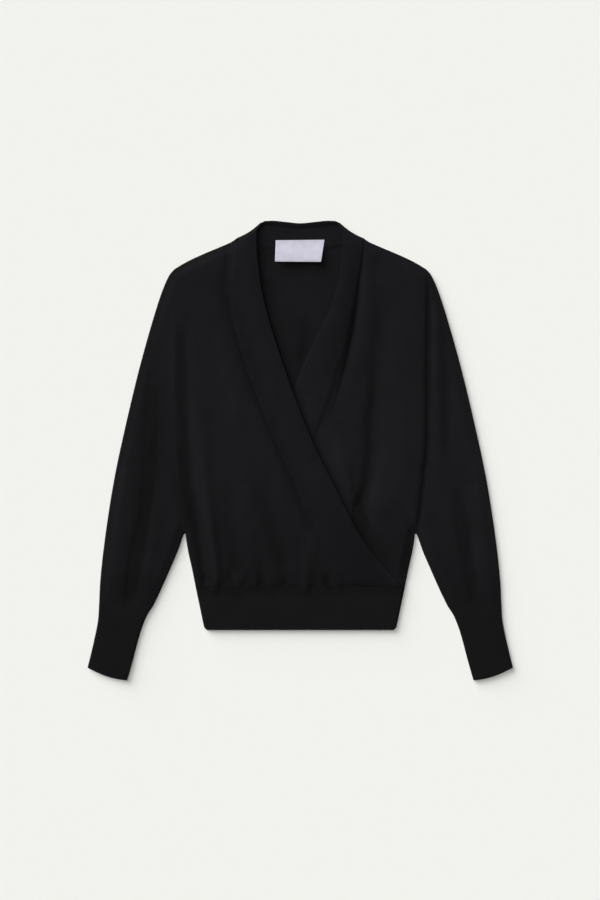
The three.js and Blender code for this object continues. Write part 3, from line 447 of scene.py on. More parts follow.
@dataclass(frozen=True)
class UpperFolds:
    """The folds of the layer that shows, as the photograph has them."""

    lines: tuple = (
        # The wearer's right side: a trough up from the waistband, with a ridge beside it
        Fold(((-164, 200, 0.0, 9), (-164, 160, -1.2, 9), (-164, 84, -1.7, 10), (-162, 15, -2.6, 12),
              (-158, -47, -3.3, 14),
              (-151, -101, -3.7, 14), (-142, -170, -3.6, 9), (-138, -196, -2.4, 6), (-136, -214, -0.6, 5),
              (-135, -222, 0, 5)), left=0.7),
        Fold(((-148, 110, 0.0, 10), (-145, 50, 0.7, 11), (-141, -14, 1.4, 11), (-132, -89, 2.0, 9),
              (-124, -150, 2.6, 7),
              (-121, -188, 2.4, 6), (-133, -212, 1.2, 5), (-138, -222, 0, 5))),
        # The armhole seam's thin ridge on that side
        Fold(((-181, 215, 0.0, 4), (-181.5, 180, 0.5, 4), (-181.5, 110, 0.6, 4), (-181, 50, 0.5, 4),
              (-180, 10, 0.3, 4),
              (-176, -60, 0.1, 4))),
        Fold(((-171, 190, 0.0, 7), (-170, 150, -0.7, 7), (-169, 95, -0.7, 7), (-168, 40, -0.3, 7),
              (-168, 20, 0, 7))),
        # Soft hollows and swells of the right front
        Fold(((-60, -20, 0.0, 15), (-52, -60, -1.5, 14), (-40, -100, -2.0, 13), (-24, -158, -1.9, 13))),
        Fold(((-103, -40, 0.0, 12), (-100, -84, -1.2, 12), (-96, -120, -0.9, 13), (-86, -165, -1.0, 13))),
        Fold(((-118, 150, 0.0, 22), (-110, 90, 0.8, 22), (-92, 30, 1.0, 22), (-78, -60, 0.9, 18))),
        Fold(((22, -100, 0.0, 10), (18, -135, 1.0, 10), (10, -175, 1.2, 9))),
        # The left front: a long trough from the chest into the hollow by the band, and the swells beside it
        Fold(((133, 245, 0.0, 14), (122, 223, -1.0, 14), (115, 171, -2.1, 13), (110, 127, -2.7, 11),
              (108, 73.5, -3.0, 10),
              (103, 40, -3.1, 10), (103, 0, -3.1, 10), (101, -23, -3.2, 10), (96, -52, -3.6, 9),
              (87, -80, -4.4, 10),
              (86, -104, -4.6, 11)), left=1.5),
        Fold(((78, -84, -2.4, 9), (88, -104, -3.6, 10), (101, -124, -3.0, 10), (117, -150, -2.0, 9),
              (129, -172, -1.0, 8))),
        Fold(((40, 50, 0.0, 12), (50, 20, 1.3, 12), (62, -20, 2.6, 11), (70, -48, 1.8, 8))),
        Fold(((138, 90, 0.0, 20), (136, 50, 0.9, 20), (132, 5, 1.4, 19), (120, -40, 1.9, 15),
              (107, -78, 2.3, 11), (106, -100, 1.2, 9)), left=2.2),
        Fold(((140, 220, 0.0, 18), (146, 150, 0.6, 18), (148, 60, 0.7, 16), (148, -40, 0.6, 14))),
        # The armhole seam on that side, sunk in a crease, and the sleeve's ridge beside it
        Fold(((185, 254, 0.0, 4), (186, 236, -2.2, 5), (186.5, 200, -3.6, 5), (186, 130, -3.7, 5),
              (185.5, 60, -3.2, 5),
              (185, 10, -3.2, 5.5), (180, -36, -2.9, 6), (174, -90, -2.9, 6),
              (170, -118, -1.6, 6)), left=1.7, core=0.35, core_reach=3.0),
        Fold(((198, 228, 0.0, 7), (197, 200, 0.7, 7), (197, 160, 1.0, 7), (197, 120, 0.8, 7),
              (198, 70, 0.3, 7), (199, 30, 0, 7))),
        Fold(((213, 190, 0.0, 11), (213, 160, -1.0, 10), (214, 90, -1.6, 10), (214, 20, -1.5, 10),
              (216, -30, -0.3, 10), (217, -50, 0, 9))),
        Fold(((225, -40, 0.0, 9), (231, -80, -1.8, 9), (240, -138, -2.4, 9), (248, -186, -2.0, 8),
              (250, -214, -0.7, 6),
              (251, -226, 0, 5)), left=1.5),
        Fold(((250, -50, 0.0, 12), (254, -90, 0.7, 11), (262, -150, 0.7, 9), (268, -190, 0.3, 8))),
        # The wearer's right sleeve: one long trough that sharpens towards the cuff, ridges on both sides, cross wrinkles
        Fold(((-206, 180, 0.0, 13), (-209, 140, -0.9, 13), (-212, 92, -1.6, 12), (-216, 26, -2.0, 11),
              (-219, -42, -2.3, 10),
              (-224, -98, -2.5, 10), (-237, -158, -2.5, 9.5), (-246, -206, -2.3, 8),
              (-250, -226, -0.4, 6)), left=1.6),
        Fold(((-243, 30, 0.0, 10), (-249, -15, 0.5, 10), (-256, -60, 0.9, 10), (-262, -118, 0.9, 9),
              (-268, -180, 0.6, 8))),
        Fold(((-203, -30, 0.0, 12), (-208, -80, 1.1, 11), (-216, -140, 1.3, 10), (-226, -190, 0.5, 8))),
        Fold(((-263, -2, -0.9, 3.2), (-248, -18, -0.6, 3.6), (-238, -26, 0, 4))),
        Fold(((-267, -27, 0.9, 4), (-250, -32, 0.4, 4))),
        Fold(((-270, -138, -0.7, 4), (-256, -152, -0.5, 4.5), (-248, -162, 0, 4))),
        # The crease where the left band is sewn on, deepest beside the V
        Fold(((91, 296, 0.0, 5), (89.5, 275, -1.9, 5), (87, 250, -3.0, 5.5), (83.5, 222, -4.2, 6),
              (77.5, 180, -5.0, 7),
              (69, 138, -4.6, 8), (60, 100, -3.2, 10), (52, 72, -1.8, 13), (44, 46, 0, 13)), core=0.2),
        # The trough along the right band's seam, broad at the top and narrow below
        Fold(((-112, 262, 0.0, 13), (-106, 238, -2.0, 14), (-99, 212, -3.2, 13), (-91, 186, -3.5, 11),
              (-82, 148, -3.4, 9),
              (-67, 102, -3.4, 8.5), (-53, 66, -3.5, 8.5), (-36, 24, -3.3, 8.5), (-15, -27, -3.0, 8.5),
              (4, -74, -2.6, 8.5),
              (19, -106, -1.8, 9), (34, -136, 0, 9)), left=1.2),
        Fold(((-122, 200, 0.0, 10), (-115, 160, 0.8, 10), (-103, 110, 1.0, 11), (-88, 60, 0.8, 11))),
        # The collar's corner on each side
        Fold(((-106, 296, -0.6, 5), (-106, 268, -1.0, 6), (-108, 240, -0.5, 7))),
        Fold(((118, 290, -0.4, 6), (112, 262, -0.7, 8), (109, 235, -0.3, 8))),
    )
    gathers: tuple = (
        Gather(-138, 4, 22, -1.2, 5), Gather(-103, 5, 34, -2.2, 6), Gather(-89, 2, 22, 0.9, 6),
        Gather(-73, -2, 28, -2.0, 6), Gather(-64, 1, 18, 0.7, 5), Gather(-55, -3, 40, -2.2, 6),
        Gather(-40, 2, 24, 0.8, 7), Gather(-21, -4, 46, -1.7, 8), Gather(8, -2, 18, 2.2, 6),
        Gather(22, -3, 22, -1.0, 6), Gather(42, -5, 22, -3.2, 5), Gather(54, -6, 20, 0.6, 6), Gather(66, -9, 28, -0.9, 7),
    )


@dataclass(frozen=True)
class PaintedShading:
    """Painted shade and painted highlight: broad places where the cloth's colour is made darker or lighter to stand in
    for shading, as shares of its tone along soft lines.
    """

    # Painted shade in hollows and creases and painted highlight on swells, along soft lines
    lines: tuple = (
        Fold(((-200, 130, 0.0, 26), (-206, 70, -0.16, 25), (-211, 0, -0.25, 25), (-216, -70, -0.24, 25),
              (-221, -130, -0.20, 23),
              (-228, -205, -0.08, 22))),
        Fold(((205, -60, 0.0, 25), (225, -150, -0.08, 25), (240, -205, -0.08, 25))),
        Fold(((222, 130, 0.0, 14), (240, 30, 0.09, 14), (252, -10, 0.13, 14), (262, -70, 0.13, 12),
              (270, -120, 0.04, 10))),
        Fold(((118, -20, 0.0, 22), (126, -60, 0.12, 24), (134, -92, 0.05, 22), (130, -115, 0.0, 20))),
        Fold(((-178, 20, 0.0, 13), (-176, -40, -0.08, 14), (-170, -90, -0.08, 13), (-160, -130, 0.0, 10))),
        Fold(((100, -110, 0.0, 12), (112, -132, -0.08, 14), (122, -160, 0.0, 12))),
        Fold(((56, 40, 0.0, 12), (62, 18, 0.13, 14), (66, -8, 0.13, 13), (70, -30, 0.0, 11))),
        Fold(((84, 230, 0.0, 6), (78, 195, -0.14, 7), (72, 160, -0.2, 8), (64, 130, -0.14, 8),
              (56, 108, 0.0, 8))),
        Fold(((104, -144, 0.0, 6), (118, -164, 0.2, 6), (138, -188, 0.22, 6))),
        Fold(((80, -66, 0.0, 7), (82, -86, -0.2, 8), (86, -104, -0.26, 9), (95, -120, -0.14, 9),
              (104, -132, 0.0, 8))),
        Fold(((-227, -40, 0.0, 10), (-234, -100, -0.12, 11), (-246, -158, -0.15, 11),
              (-255, -203, -0.22, 9), (-258, -222, 0.0, 8))),
        Fold(((228, -60, 0.0, 8), (235, -105, -0.12, 9), (241, -150, -0.12, 9), (247, -190, 0.0, 8))),
    )
    # Painted shade on the back where it shows inside the neck
    back: tuple = (Fold(((5, 198, 0.0, 10), (6, 172, -0.26, 10), (0, 140, -0.26, 10), (-8, 105, 0.0, 8))),)
    # Painted shade: an overall share on the back, and more towards the waist seam and towards the cuffs
    back_shade: float = -0.07
    sleeve_end: float = -0.16
    sleeve_end_y: tuple = (-212.0, -150.0)
    waist: float = -0.20
    waist_low: float = 5.0
    waist_top_y: float = -20.0
    waist_half: float = 150.0
    waist_blend: float = 20.0
    # Painted shading for each millimetre of fold rise: lighter on crests, darker in troughs
    shade_per_rise: float = 0.045
    darkest: float = -0.37
    lightest: float = 0.24


@dataclass(frozen=True)
class LowerFolds:
    """The folds of the layer that lies on the surface: it can only rise from it."""

    lines: tuple = (
        Fold(((-120, -180, 0.7, 8), (-126, -90, 0.6, 10), (-132, 20, 0.3, 12))),
        Fold(((118, -184, 0.7, 8), (122, -110, 0.6, 10), (120, 30, 0.3, 12))),
        Fold(((-40, -190, 0.6, 8), (-36, -130, 0.4, 9))), Fold(((52, -190, 0.6, 8), (50, -140, 0.4, 9))),
        Fold(((6, -190, 0.7, 7), (4, -150, 0.3, 8))), Fold(((-80, -190, 0.5, 7), (-82, -150, 0.3, 8))),
        Fold(((-70, 220, 0.3, 12), (-20, 120, 0.5, 16), (10, 20, 0.3, 16))),
        Fold(((-222, 60, 0.4, 11), (-240, -60, 0.7, 10), (-252, -190, 0.8, 7))),
        Fold(((220, 60, 0.4, 11), (238, -60, 0.7, 10), (250, -190, 0.8, 7))),
    )


class Undulation:
    """The slight unevenness of cloth that lies free, as a sum of long waves."""

    spread = 0.75
    flatness = 0.55
    growth = 0.8

    def __init__(self, seed: int, count: int, shortest: float, longest: float) -> None:
        """Draw the waves.

        Args:
            seed: fixes the waves, so that each run gives the same cloth.
            count: how many waves are added up.
            shortest: the shortest wave, in millimetres.
            longest: the longest wave.
        """
        rng = np.random.default_rng(seed)
        lengths = np.exp(rng.uniform(math.log(shortest), math.log(longest), count))
        turn = rng.normal(0, self.spread, count)
        along = np.stack([np.cos(turn), self.flatness * np.sin(turn)], axis=1)
        self.wave = along * (2 * math.pi / lengths)[:, None]
        self.phase = rng.uniform(0, 2 * math.pi, count)
        self.size = (lengths / longest) ** self.growth / math.sqrt(count / 2)

    def height(self, x: Array, y: Array) -> Array:
        """Return the unevenness at each place, mostly between -1 and 1."""
        total = np.zeros(np.shape(x))
        for wave, phase, size in zip(self.wave, self.phase, self.size):
            total += size * np.sin(wave[0] * x + wave[1] * y + phase)
        return total


class Lie:
    """How the garment lies: the height of the middle of each layer above the surface, in millimetres."""

    turn_radius = 2.5
    edge_rise = 15.0
    rise_start = 0.6
    sleeve_height = 7.4
    body_height = 9.2
    body_to_sleeve_x = (160, 222)
    sleeve_inset = 14
    seam_height = 6.6
    waist_fall = 26.0
    cuff_fall = 18.0
    fall_roundness = 0.5
    least_softness = 0.4
    layer_gap = 0.5
    lower_ease = (4, 16)
    uncovering = (2, 20)
    hidden_front = 3.6
    hidden_front_start = (-14, -2)
    hidden_band = 4.4
    hidden_band_end = (54, 66)
    wrap_swell = 1.7
    wrap_middle = (-25, -60)
    wrap_reach = (85, 120)
    clear_rise = 4
    fold_depth = 1.25
    ripple = 0.22

    def __init__(self, outline: Outline, band: BandCut, walls: Walls) -> None:
        """Take the garment's outline, band and walls, and its folds.

        Args:
            outline: the outline and seams.
            band: the neckband's sections.
            walls: the cloths' thicknesses.
        """
        self.outline = outline
        self.walls = walls
        self.half = outline.half()
        self.cuff_seam = np.array([outline.sleeve_outer[-1], outline.sleeve_inner[-1]], float)
        self.right_free = band.free_edge(band.right, outline.horn_point)
        self.left_free = band.free_edge(band.left, outline.horn_point)
        folds = UpperFolds()
        self.folds = [*folds.lines, *(g.fold(outline.waist_seam_y) for g in folds.gathers)]
        self.lower_folds = list(LowerFolds().lines)
        self.tones = PaintedShading()
        self.uneven = Undulation(7, 26, 22, 110)
        self.known_rises: dict[int, Array] = {}

    def inside(self, x: Array, y: Array, wall: float) -> Array:
        """Return how far inside the outline the cloth's middle lies, beyond its outermost line."""
        gap, _ = gap_and_side(self.half, np.abs(x), y)
        return np.maximum(0, gap - wall / 2)

    def turned(self, distance: Array) -> Array:
        """Return how far a turned edge's half circle has risen at a distance inside it."""
        back = np.maximum(0, self.turn_radius - distance)
        return np.sqrt(np.maximum(0, self.turn_radius**2 - back**2))

    def turned_edge(self, distance: Array, wall: float) -> Array:
        """Return the height of a turned edge's upper side at a distance inside it."""
        return wall / 2 + self.turn_radius + self.turned(distance)

    def clear(self, edge: Array, wall: float) -> Array:
        """Return the least height of the layer that shows: clear of the lower one, but no higher than its edge."""
        return np.minimum(edge, wall * 1.5 + self.layer_gap)

    def rises(self, x: Array, y: Array) -> Array:
        """Return the sum of all the upper layer's folds, kept for the next call with the same places."""
        key = hash((np.shape(x), np.asarray(x).tobytes(), np.asarray(y).tobytes()))
        if key not in self.known_rises:
            folds = sum(fold.height(x, y) for fold in self.folds)
            self.known_rises[key] = self.fold_depth * folds + self.ripple * self.uneven.height(x, y)
        return self.known_rises[key]

    def painted_shading(self, x: Array, y: Array) -> Array:
        """Return the painted shading: the colour made lighter on crests, darker in troughs, at the waist and towards
        the cuffs, and along the listed soft lines.
        """
        tones = self.tones
        share = tones.shade_per_rise * self.rises(x, y) + sum(line.height(x, y) for line in tones.lines)
        low = 1 - smooth(self.outline.waist_seam_y + tones.waist_low, tones.waist_top_y, y)
        body = 1 - smooth(tones.waist_half, tones.waist_half + tones.waist_blend, np.abs(x))
        share = share + tones.waist * low * body
        share = share + tones.sleeve_end * (1 - smooth(*tones.sleeve_end_y, y)) * (1 - body)
        return np.clip(share, tones.darkest, tones.lightest)

    def back_painted_shading(self, x: Array, y: Array) -> Array:
        """Return the painted shade on the back, which shows inside the neck."""
        return self.tones.back_shade + sum(line.height(x, y) for line in self.tones.back)

    def lower(self, x: Array, y: Array, wall: float) -> Array:
        """Return the height of the layer that lies on the surface."""
        distance = self.inside(x, y, wall)
        swell = sum(fold.height(x, y) for fold in self.lower_folds) * smooth(*self.lower_ease, distance)
        return wall / 2 + self.turn_radius - self.turned(distance) + swell

    def falling(self, x: Array, y: Array) -> Array:
        """Return how far the cloth has puffed down to the waistband's or a cuff's seam: 0 away from it, 1 at it."""
        body = np.abs(x) < self.outline.underarm[0] - self.sleeve_inset
        above_cuff, _ = gap_and_side(self.cuff_seam, np.abs(x), y)
        above = np.where(body, (y - self.outline.waist_seam_y) / self.waist_fall, above_cuff / self.cuff_fall)
        fall = np.clip(1 - above, 0, 1)
        return self.fall_roundness * (1 - np.sqrt(1 - fall**2)) + (1 - self.fall_roundness) * fall**2

    def upper(self, x: Array, y: Array, wall: float, swell: Array | float = 0.0) -> Array:
        """Return the height of the layer that shows.

        Args:
            x: the places' x.
            y: their y.
            wall: the cloth's thickness.
            swell: how much further the layer stands off there.

        Returns:
            The height of its middle.
        """
        distance = self.inside(x, y, wall)
        edge = self.turned_edge(distance, wall)
        share = smooth(*self.body_to_sleeve_x, np.abs(x))
        level = mix(self.body_height, self.sleeve_height, share) + swell
        level = mix(level, self.seam_height, self.falling(x, y))
        inner = smooth(self.turn_radius * self.rise_start, self.edge_rise, distance)
        raised = edge + (level + self.rises(x, y) - edge) * inner
        least = self.clear(edge, wall)
        soft = self.least_softness
        rounded = soft * np.logaddexp(0, (raised - least) / soft)
        return least + rounded - soft * math.log(2) * np.exp(-np.abs(raised - least) / soft)

    def uncovered(self, x: Array, y: Array) -> Array:
        """Return 0 where the right front covers the left one, and 1 in the open."""
        gap, side = gap_and_side(self.right_free, x, y)
        return smooth(*self.uncovering, side * gap)

    def hidden_top(self, x: Array, y: Array) -> Array:
        """Return how high the hidden left front and its band reach under the right front."""
        gap, side = gap_and_side(self.left_free, x, y)
        start = side * gap
        cloth = smooth(*self.hidden_front_start, start)
        band = cloth * (1 - smooth(*self.hidden_band_end, start))
        top = mix(self.walls.jersey, self.hidden_front + self.walls.jersey / 2, cloth)
        return mix(top, self.hidden_band + self.walls.band / 2, band)

    def left_front(self, x: Array, y: Array) -> Array:
        """Return the height of the left front's middle, pressed down where the right front covers it."""
        wall = self.walls.jersey
        covered = np.minimum(self.turned_edge(self.inside(x, y, wall), wall), self.hidden_front)
        return mix(covered, self.upper(x, y, wall), self.uncovered(x, y))

    def right_front(self, x: Array, y: Array) -> Array:
        """Return the height of the right front's middle, clear of what it covers."""
        wall = self.walls.jersey
        aside = (x - self.wrap_middle[0]) / self.wrap_reach[0]
        up = (y - self.wrap_middle[1]) / self.wrap_reach[1]
        swell = self.wrap_swell * np.exp(-(aside**2) - up**2)
        distance = self.inside(x, y, wall)
        cleared = self.hidden_top(x, y) + self.layer_gap + wall / 2
        most = self.turned_edge(distance, wall) + self.clear_rise * smooth(0, self.edge_rise, distance)
        return np.maximum(self.upper(x, y, wall, swell), np.minimum(cleared, most))


# Sheets

SEWN_STEPS = (0.0, 0.15, 0.45, 0.9, 1.8)
TURNED_STEPS = (0.0, 0.1, 0.3, 0.65, 1.1, 1.7, 2.5, 3.6)
OPEN_STEPS = (0.0, 0.12, 0.4, 0.9, 1.6)
SEAM_SHARE = 0.95
SEAM_REACH = 0.5
OPEN_SHARE = 0.3
OPEN_REACH = 1.3
# Faces that meet at more than this many degrees, as at a wall's cut rim, meet in a sharp edge
RIM_ANGLE = 60


def flat_square(run: Array) -> Array:
    """Return the level directions square to the given runs."""
    return unit(np.stack([-run[..., 1], run[..., 0], np.zeros(run.shape[:-1])], axis=-1))


@dataclass
class Cloth:
    """A wall of cloth round a grid of its middle, in millimetres.

    `share` is the part of the full wall at each place, `painted_shading` how much lighter or darker its colour is
    painted there to stand in for shading, and `holds` are directions in which the wall keeps to a seam.
    """

    most_stretch = 1.3
    least_lean = 0.2

    middle: Array
    wall: float
    share: Array
    stitch: Array
    painted_shading: Array | None = None
    ring: bool = False
    holds: list = field(default_factory=list)

    def hold_row(self, row: int, edge: Edge) -> None:
        """Keep the wall of a first or last row upright at a seam, or level where the cloth turns over."""
        hold = np.zeros_like(self.middle)
        run = np.gradient(self.middle[row], axis=0)
        if self.ring:
            run = np.roll(self.middle[row], -1, axis=0) - np.roll(self.middle[row], 1, axis=0)
        hold[row] = UPRIGHT if edge is Edge.TURNED else flat_square(run)
        self.holds.append(hold)

    def hold_column(self, column: int, turned: Array) -> None:
        """Do the same for a first or last column, where `turned` says row by row whether the cloth turns over."""
        hold = np.zeros_like(self.middle)
        square = flat_square(np.gradient(self.middle[:, column], axis=0))
        hold[:, column] = np.where(turned[:, None], UPRIGHT, square)
        self.holds.append(hold)

    def normal(self) -> Array:
        """Return the wall's direction at each place, longer where it leans so that the wall keeps its thickness."""
        if self.ring:
            along = np.roll(self.middle, -1, axis=1) - np.roll(self.middle, 1, axis=1)
        else:
            along = np.gradient(self.middle, axis=1)
        normal = unit(np.cross(along, np.gradient(self.middle, axis=0)))
        for hold in self.holds:
            normal = normal - hold * np.sum(normal * hold, axis=-1, keepdims=True)
        size = np.linalg.norm(normal, axis=-1, keepdims=True)
        return unit(normal) * np.minimum(self.most_stretch, 1 / np.maximum(size, self.least_lean))

    def faces(self) -> tuple[Array, Array]:
        """Return the corners of both faces of the wall, and its quads."""
        rows, columns = self.middle.shape[:2]
        offset = self.normal() * self.wall * self.share[..., None] / 2
        corners = np.concatenate([(self.middle + offset).reshape(-1, 3), (self.middle - offset).reshape(-1, 3)])
        corners[:, 2] = np.maximum(corners[:, 2], 0)
        spot = np.arange(rows * columns).reshape(rows, columns)
        turn = np.concatenate([spot, spot[:, :1]], axis=1) if self.ring else spot
        other = turn + rows * columns
        quads = [
            (turn[:-1, :-1], turn[:-1, 1:], turn[1:, 1:], turn[1:, :-1]),
            (other[:-1, :-1], other[1:, :-1], other[1:, 1:], other[:-1, 1:]),
            (turn[0, :-1], other[0, :-1], other[0, 1:], turn[0, 1:]),
            (turn[-1, :-1], turn[-1, 1:], other[-1, 1:], other[-1, :-1]),
        ]
        if not self.ring:
            quads.append((turn[:-1, 0], turn[1:, 0], other[1:, 0], other[:-1, 0]))
            quads.append((turn[:-1, -1], other[:-1, -1], other[1:, -1], turn[1:, -1]))
        return corners, np.concatenate([np.stack(quad, axis=-1).reshape(-1, 4) for quad in quads])

    def piece(self, name: str) -> bpy.types.Object:
        """Make the piece, with its stitch coordinates in millimetres.

        Args:
            name: the new object's name.

        Returns:
            The object, in metres, linked to the scene.
        """
        corners, quads = self.faces()
        mesh = bpy.data.meshes.new(name)
        mesh.vertices.add(len(corners))
        mesh.vertices.foreach_set("co", (corners * MM).ravel())
        mesh.loops.add(quads.size)
        mesh.loops.foreach_set("vertex_index", quads.ravel().astype(np.int32))
        mesh.polygons.add(len(quads))
        mesh.polygons.foreach_set("loop_start", np.arange(0, quads.size, 4, dtype=np.int32))
        mesh.update(calc_edges=True)
        stitch = np.concatenate([self.stitch.reshape(-1, 2)] * 2)
        layer = mesh.uv_layers.new(name="Stitch")
        layer.data.foreach_set("uv", stitch[quads.ravel()].ravel().astype(np.float32))
        # Painted shading goes into the mesh as an attribute that makes the colour lighter or darker
        if self.painted_shading is not None:
            tone = mesh.attributes.new("painted_shading", "FLOAT", "POINT")
            tone.data.foreach_set("value", np.concatenate([self.painted_shading.ravel()] * 2).astype(np.float32))
        mesh.validate()
        mesh.shade_smooth()
        mesh.set_sharp_from_angle(angle=math.radians(RIM_ANGLE))
        obj = bpy.data.objects.new(name, mesh)
        bpy.context.scene.collection.objects.link(obj)
        return obj


def seam_share(distance: Array) -> Array:
    """Return the part of the full wall at distances from a seam."""
    return edge_share(distance, SEAM_SHARE, SEAM_REACH)


def open_share(distance: Array) -> Array:
    """Return the part of the full wall at distances from an open end."""
    return edge_share(distance, OPEN_SHARE, OPEN_REACH)


def edge_share(distance: Array, least: float, reach: float) -> Array:
    """Return the part of the full wall at distances from an edge, rounded off towards `least` at the edge itself."""
    back = np.clip(1 - np.asarray(distance) / reach, 0, 1)
    return least + (1 - least) * np.sqrt(1 - back**2)


def patch(bottom: Array, top: Array, first: Array, last: Array) -> Array:
    """Fill the area between four plan lines.

    Args:
        bottom: places of the first row, one for each column.
        top: places of the last row.
        first: places of the first column, one for each row.
        last: places of the last column.

    Returns:
        The places of all rows and columns.
    """
    def shares(line: Array) -> Array:
        """Return each place's share of the line's length."""
        steps = running(spans(line))
        return steps / steps[-1]

    u_low, u_high, v_first, v_last = shares(bottom), shares(top), shares(first), shares(last)
    v = mix(v_first[:, None], v_last[:, None], mix(u_low, u_high, 0.5)[None, :])
    u = mix(u_low[None, :], u_high[None, :], v)
    u, v = u[..., None], v[..., None]
    rows = (1 - v) * bottom[None] + v * top[None]
    columns = (1 - u) * first[:, None] + u * last[:, None]
    corners = (1 - v) * ((1 - u) * bottom[0] + u * bottom[-1]) + v * ((1 - u) * top[0] + u * top[-1])
    return rows + columns - corners


# Finishes


class Nodes:
    """Short calls for building a material's node tree."""

    def __init__(self, name: str) -> None:
        """Start a material with an empty tree, an output and a principled shader."""
        self.material = bpy.data.materials.new(name)
        self.material.use_nodes = True
        self.tree = self.material.node_tree
        self.tree.nodes.clear()
        self.shader = self.tree.nodes.new("ShaderNodeBsdfPrincipled")
        output = self.tree.nodes.new("ShaderNodeOutputMaterial")
        self.tree.links.new(self.shader.outputs["BSDF"], output.inputs["Surface"])

    def link(self, source: Socket, target: Socket) -> None:
        """Join two sockets."""
        self.tree.links.new(source, target)

    def math(self, operation: str, *values: Socket | float) -> Socket:
        """Return the result of one step of arithmetic on sockets or numbers."""
        node = self.tree.nodes.new("ShaderNodeMath")
        node.operation = operation
        for socket, value in zip(node.inputs, values):
            if isinstance(value, (int, float)):
                socket.default_value = value
            else:
                self.link(value, socket)
        return node.outputs[0]

    def stitch(self) -> tuple[Socket, Socket, Socket]:
        """Return the stitch coordinates, in millimetres, whole and as (across, along)."""
        uv = self.tree.nodes.new("ShaderNodeUVMap")
        uv.uv_map = "Stitch"
        parts = self.tree.nodes.new("ShaderNodeSeparateXYZ")
        self.link(uv.outputs[0], parts.inputs[0])
        return uv.outputs[0], parts.outputs[0], parts.outputs[1]

    def noise(self, place: Socket, scale: float, detail: float) -> Socket:
        """Return soft noise from 0 to 1 at a place."""
        node = self.tree.nodes.new("ShaderNodeTexNoise")
        node.inputs["Scale"].default_value = scale
        node.inputs["Detail"].default_value = detail
        self.link(place, node.inputs["Vector"])
        return node.outputs["Fac"]

    def ramp(self, value: Socket, stops: Sequence[tuple[float, tuple]]) -> Socket:
        """Return the colour that a value has between two (place, colour) stops."""
        node = self.tree.nodes.new("ShaderNodeValToRGB")
        for element, (place, colour) in zip(node.color_ramp.elements, stops):
            element.position, element.color = place, (*colour, 1)
        self.link(value, node.inputs[0])
        return node.outputs[0]

    def range(self, value: Socket, low: float, high: float) -> Socket:
        """Return a value from 0 to 1 spread from `low` to `high`."""
        node = self.tree.nodes.new("ShaderNodeMapRange")
        node.inputs["To Min"].default_value = low
        node.inputs["To Max"].default_value = high
        self.link(value, node.inputs["Value"])
        return node.outputs[0]

    def toned(self, colour: Socket, name: str) -> Socket:
        """Return a colour made lighter or darker by a value that the mesh keeps under a name."""
        value = self.tree.nodes.new("ShaderNodeAttribute")
        value.attribute_name = name
        scale = self.tree.nodes.new("ShaderNodeVectorMath")
        scale.operation = "SCALE"
        self.link(colour, scale.inputs[0])
        self.link(self.math("ADD", value.outputs["Fac"], 1.0), scale.inputs["Scale"])
        return scale.outputs[0]

    def bump(self, height: Socket, strength: float, distance: float) -> None:
        """Give the shader a relief from a height."""
        node = self.tree.nodes.new("ShaderNodeBump")
        node.inputs["Strength"].default_value = strength
        node.inputs["Distance"].default_value = distance
        self.link(height, node.inputs["Height"])
        self.link(node.outputs[0], self.shader.inputs["Normal"])


def tones(colour: Sequence[float], stops: Sequence[tuple[float, float]]) -> list[tuple[float, tuple]]:
    """Return a ramp's stops for a colour, from (place, share of the colour)."""
    return [(place, tuple(part * share for part in colour)) for place, share in stops]


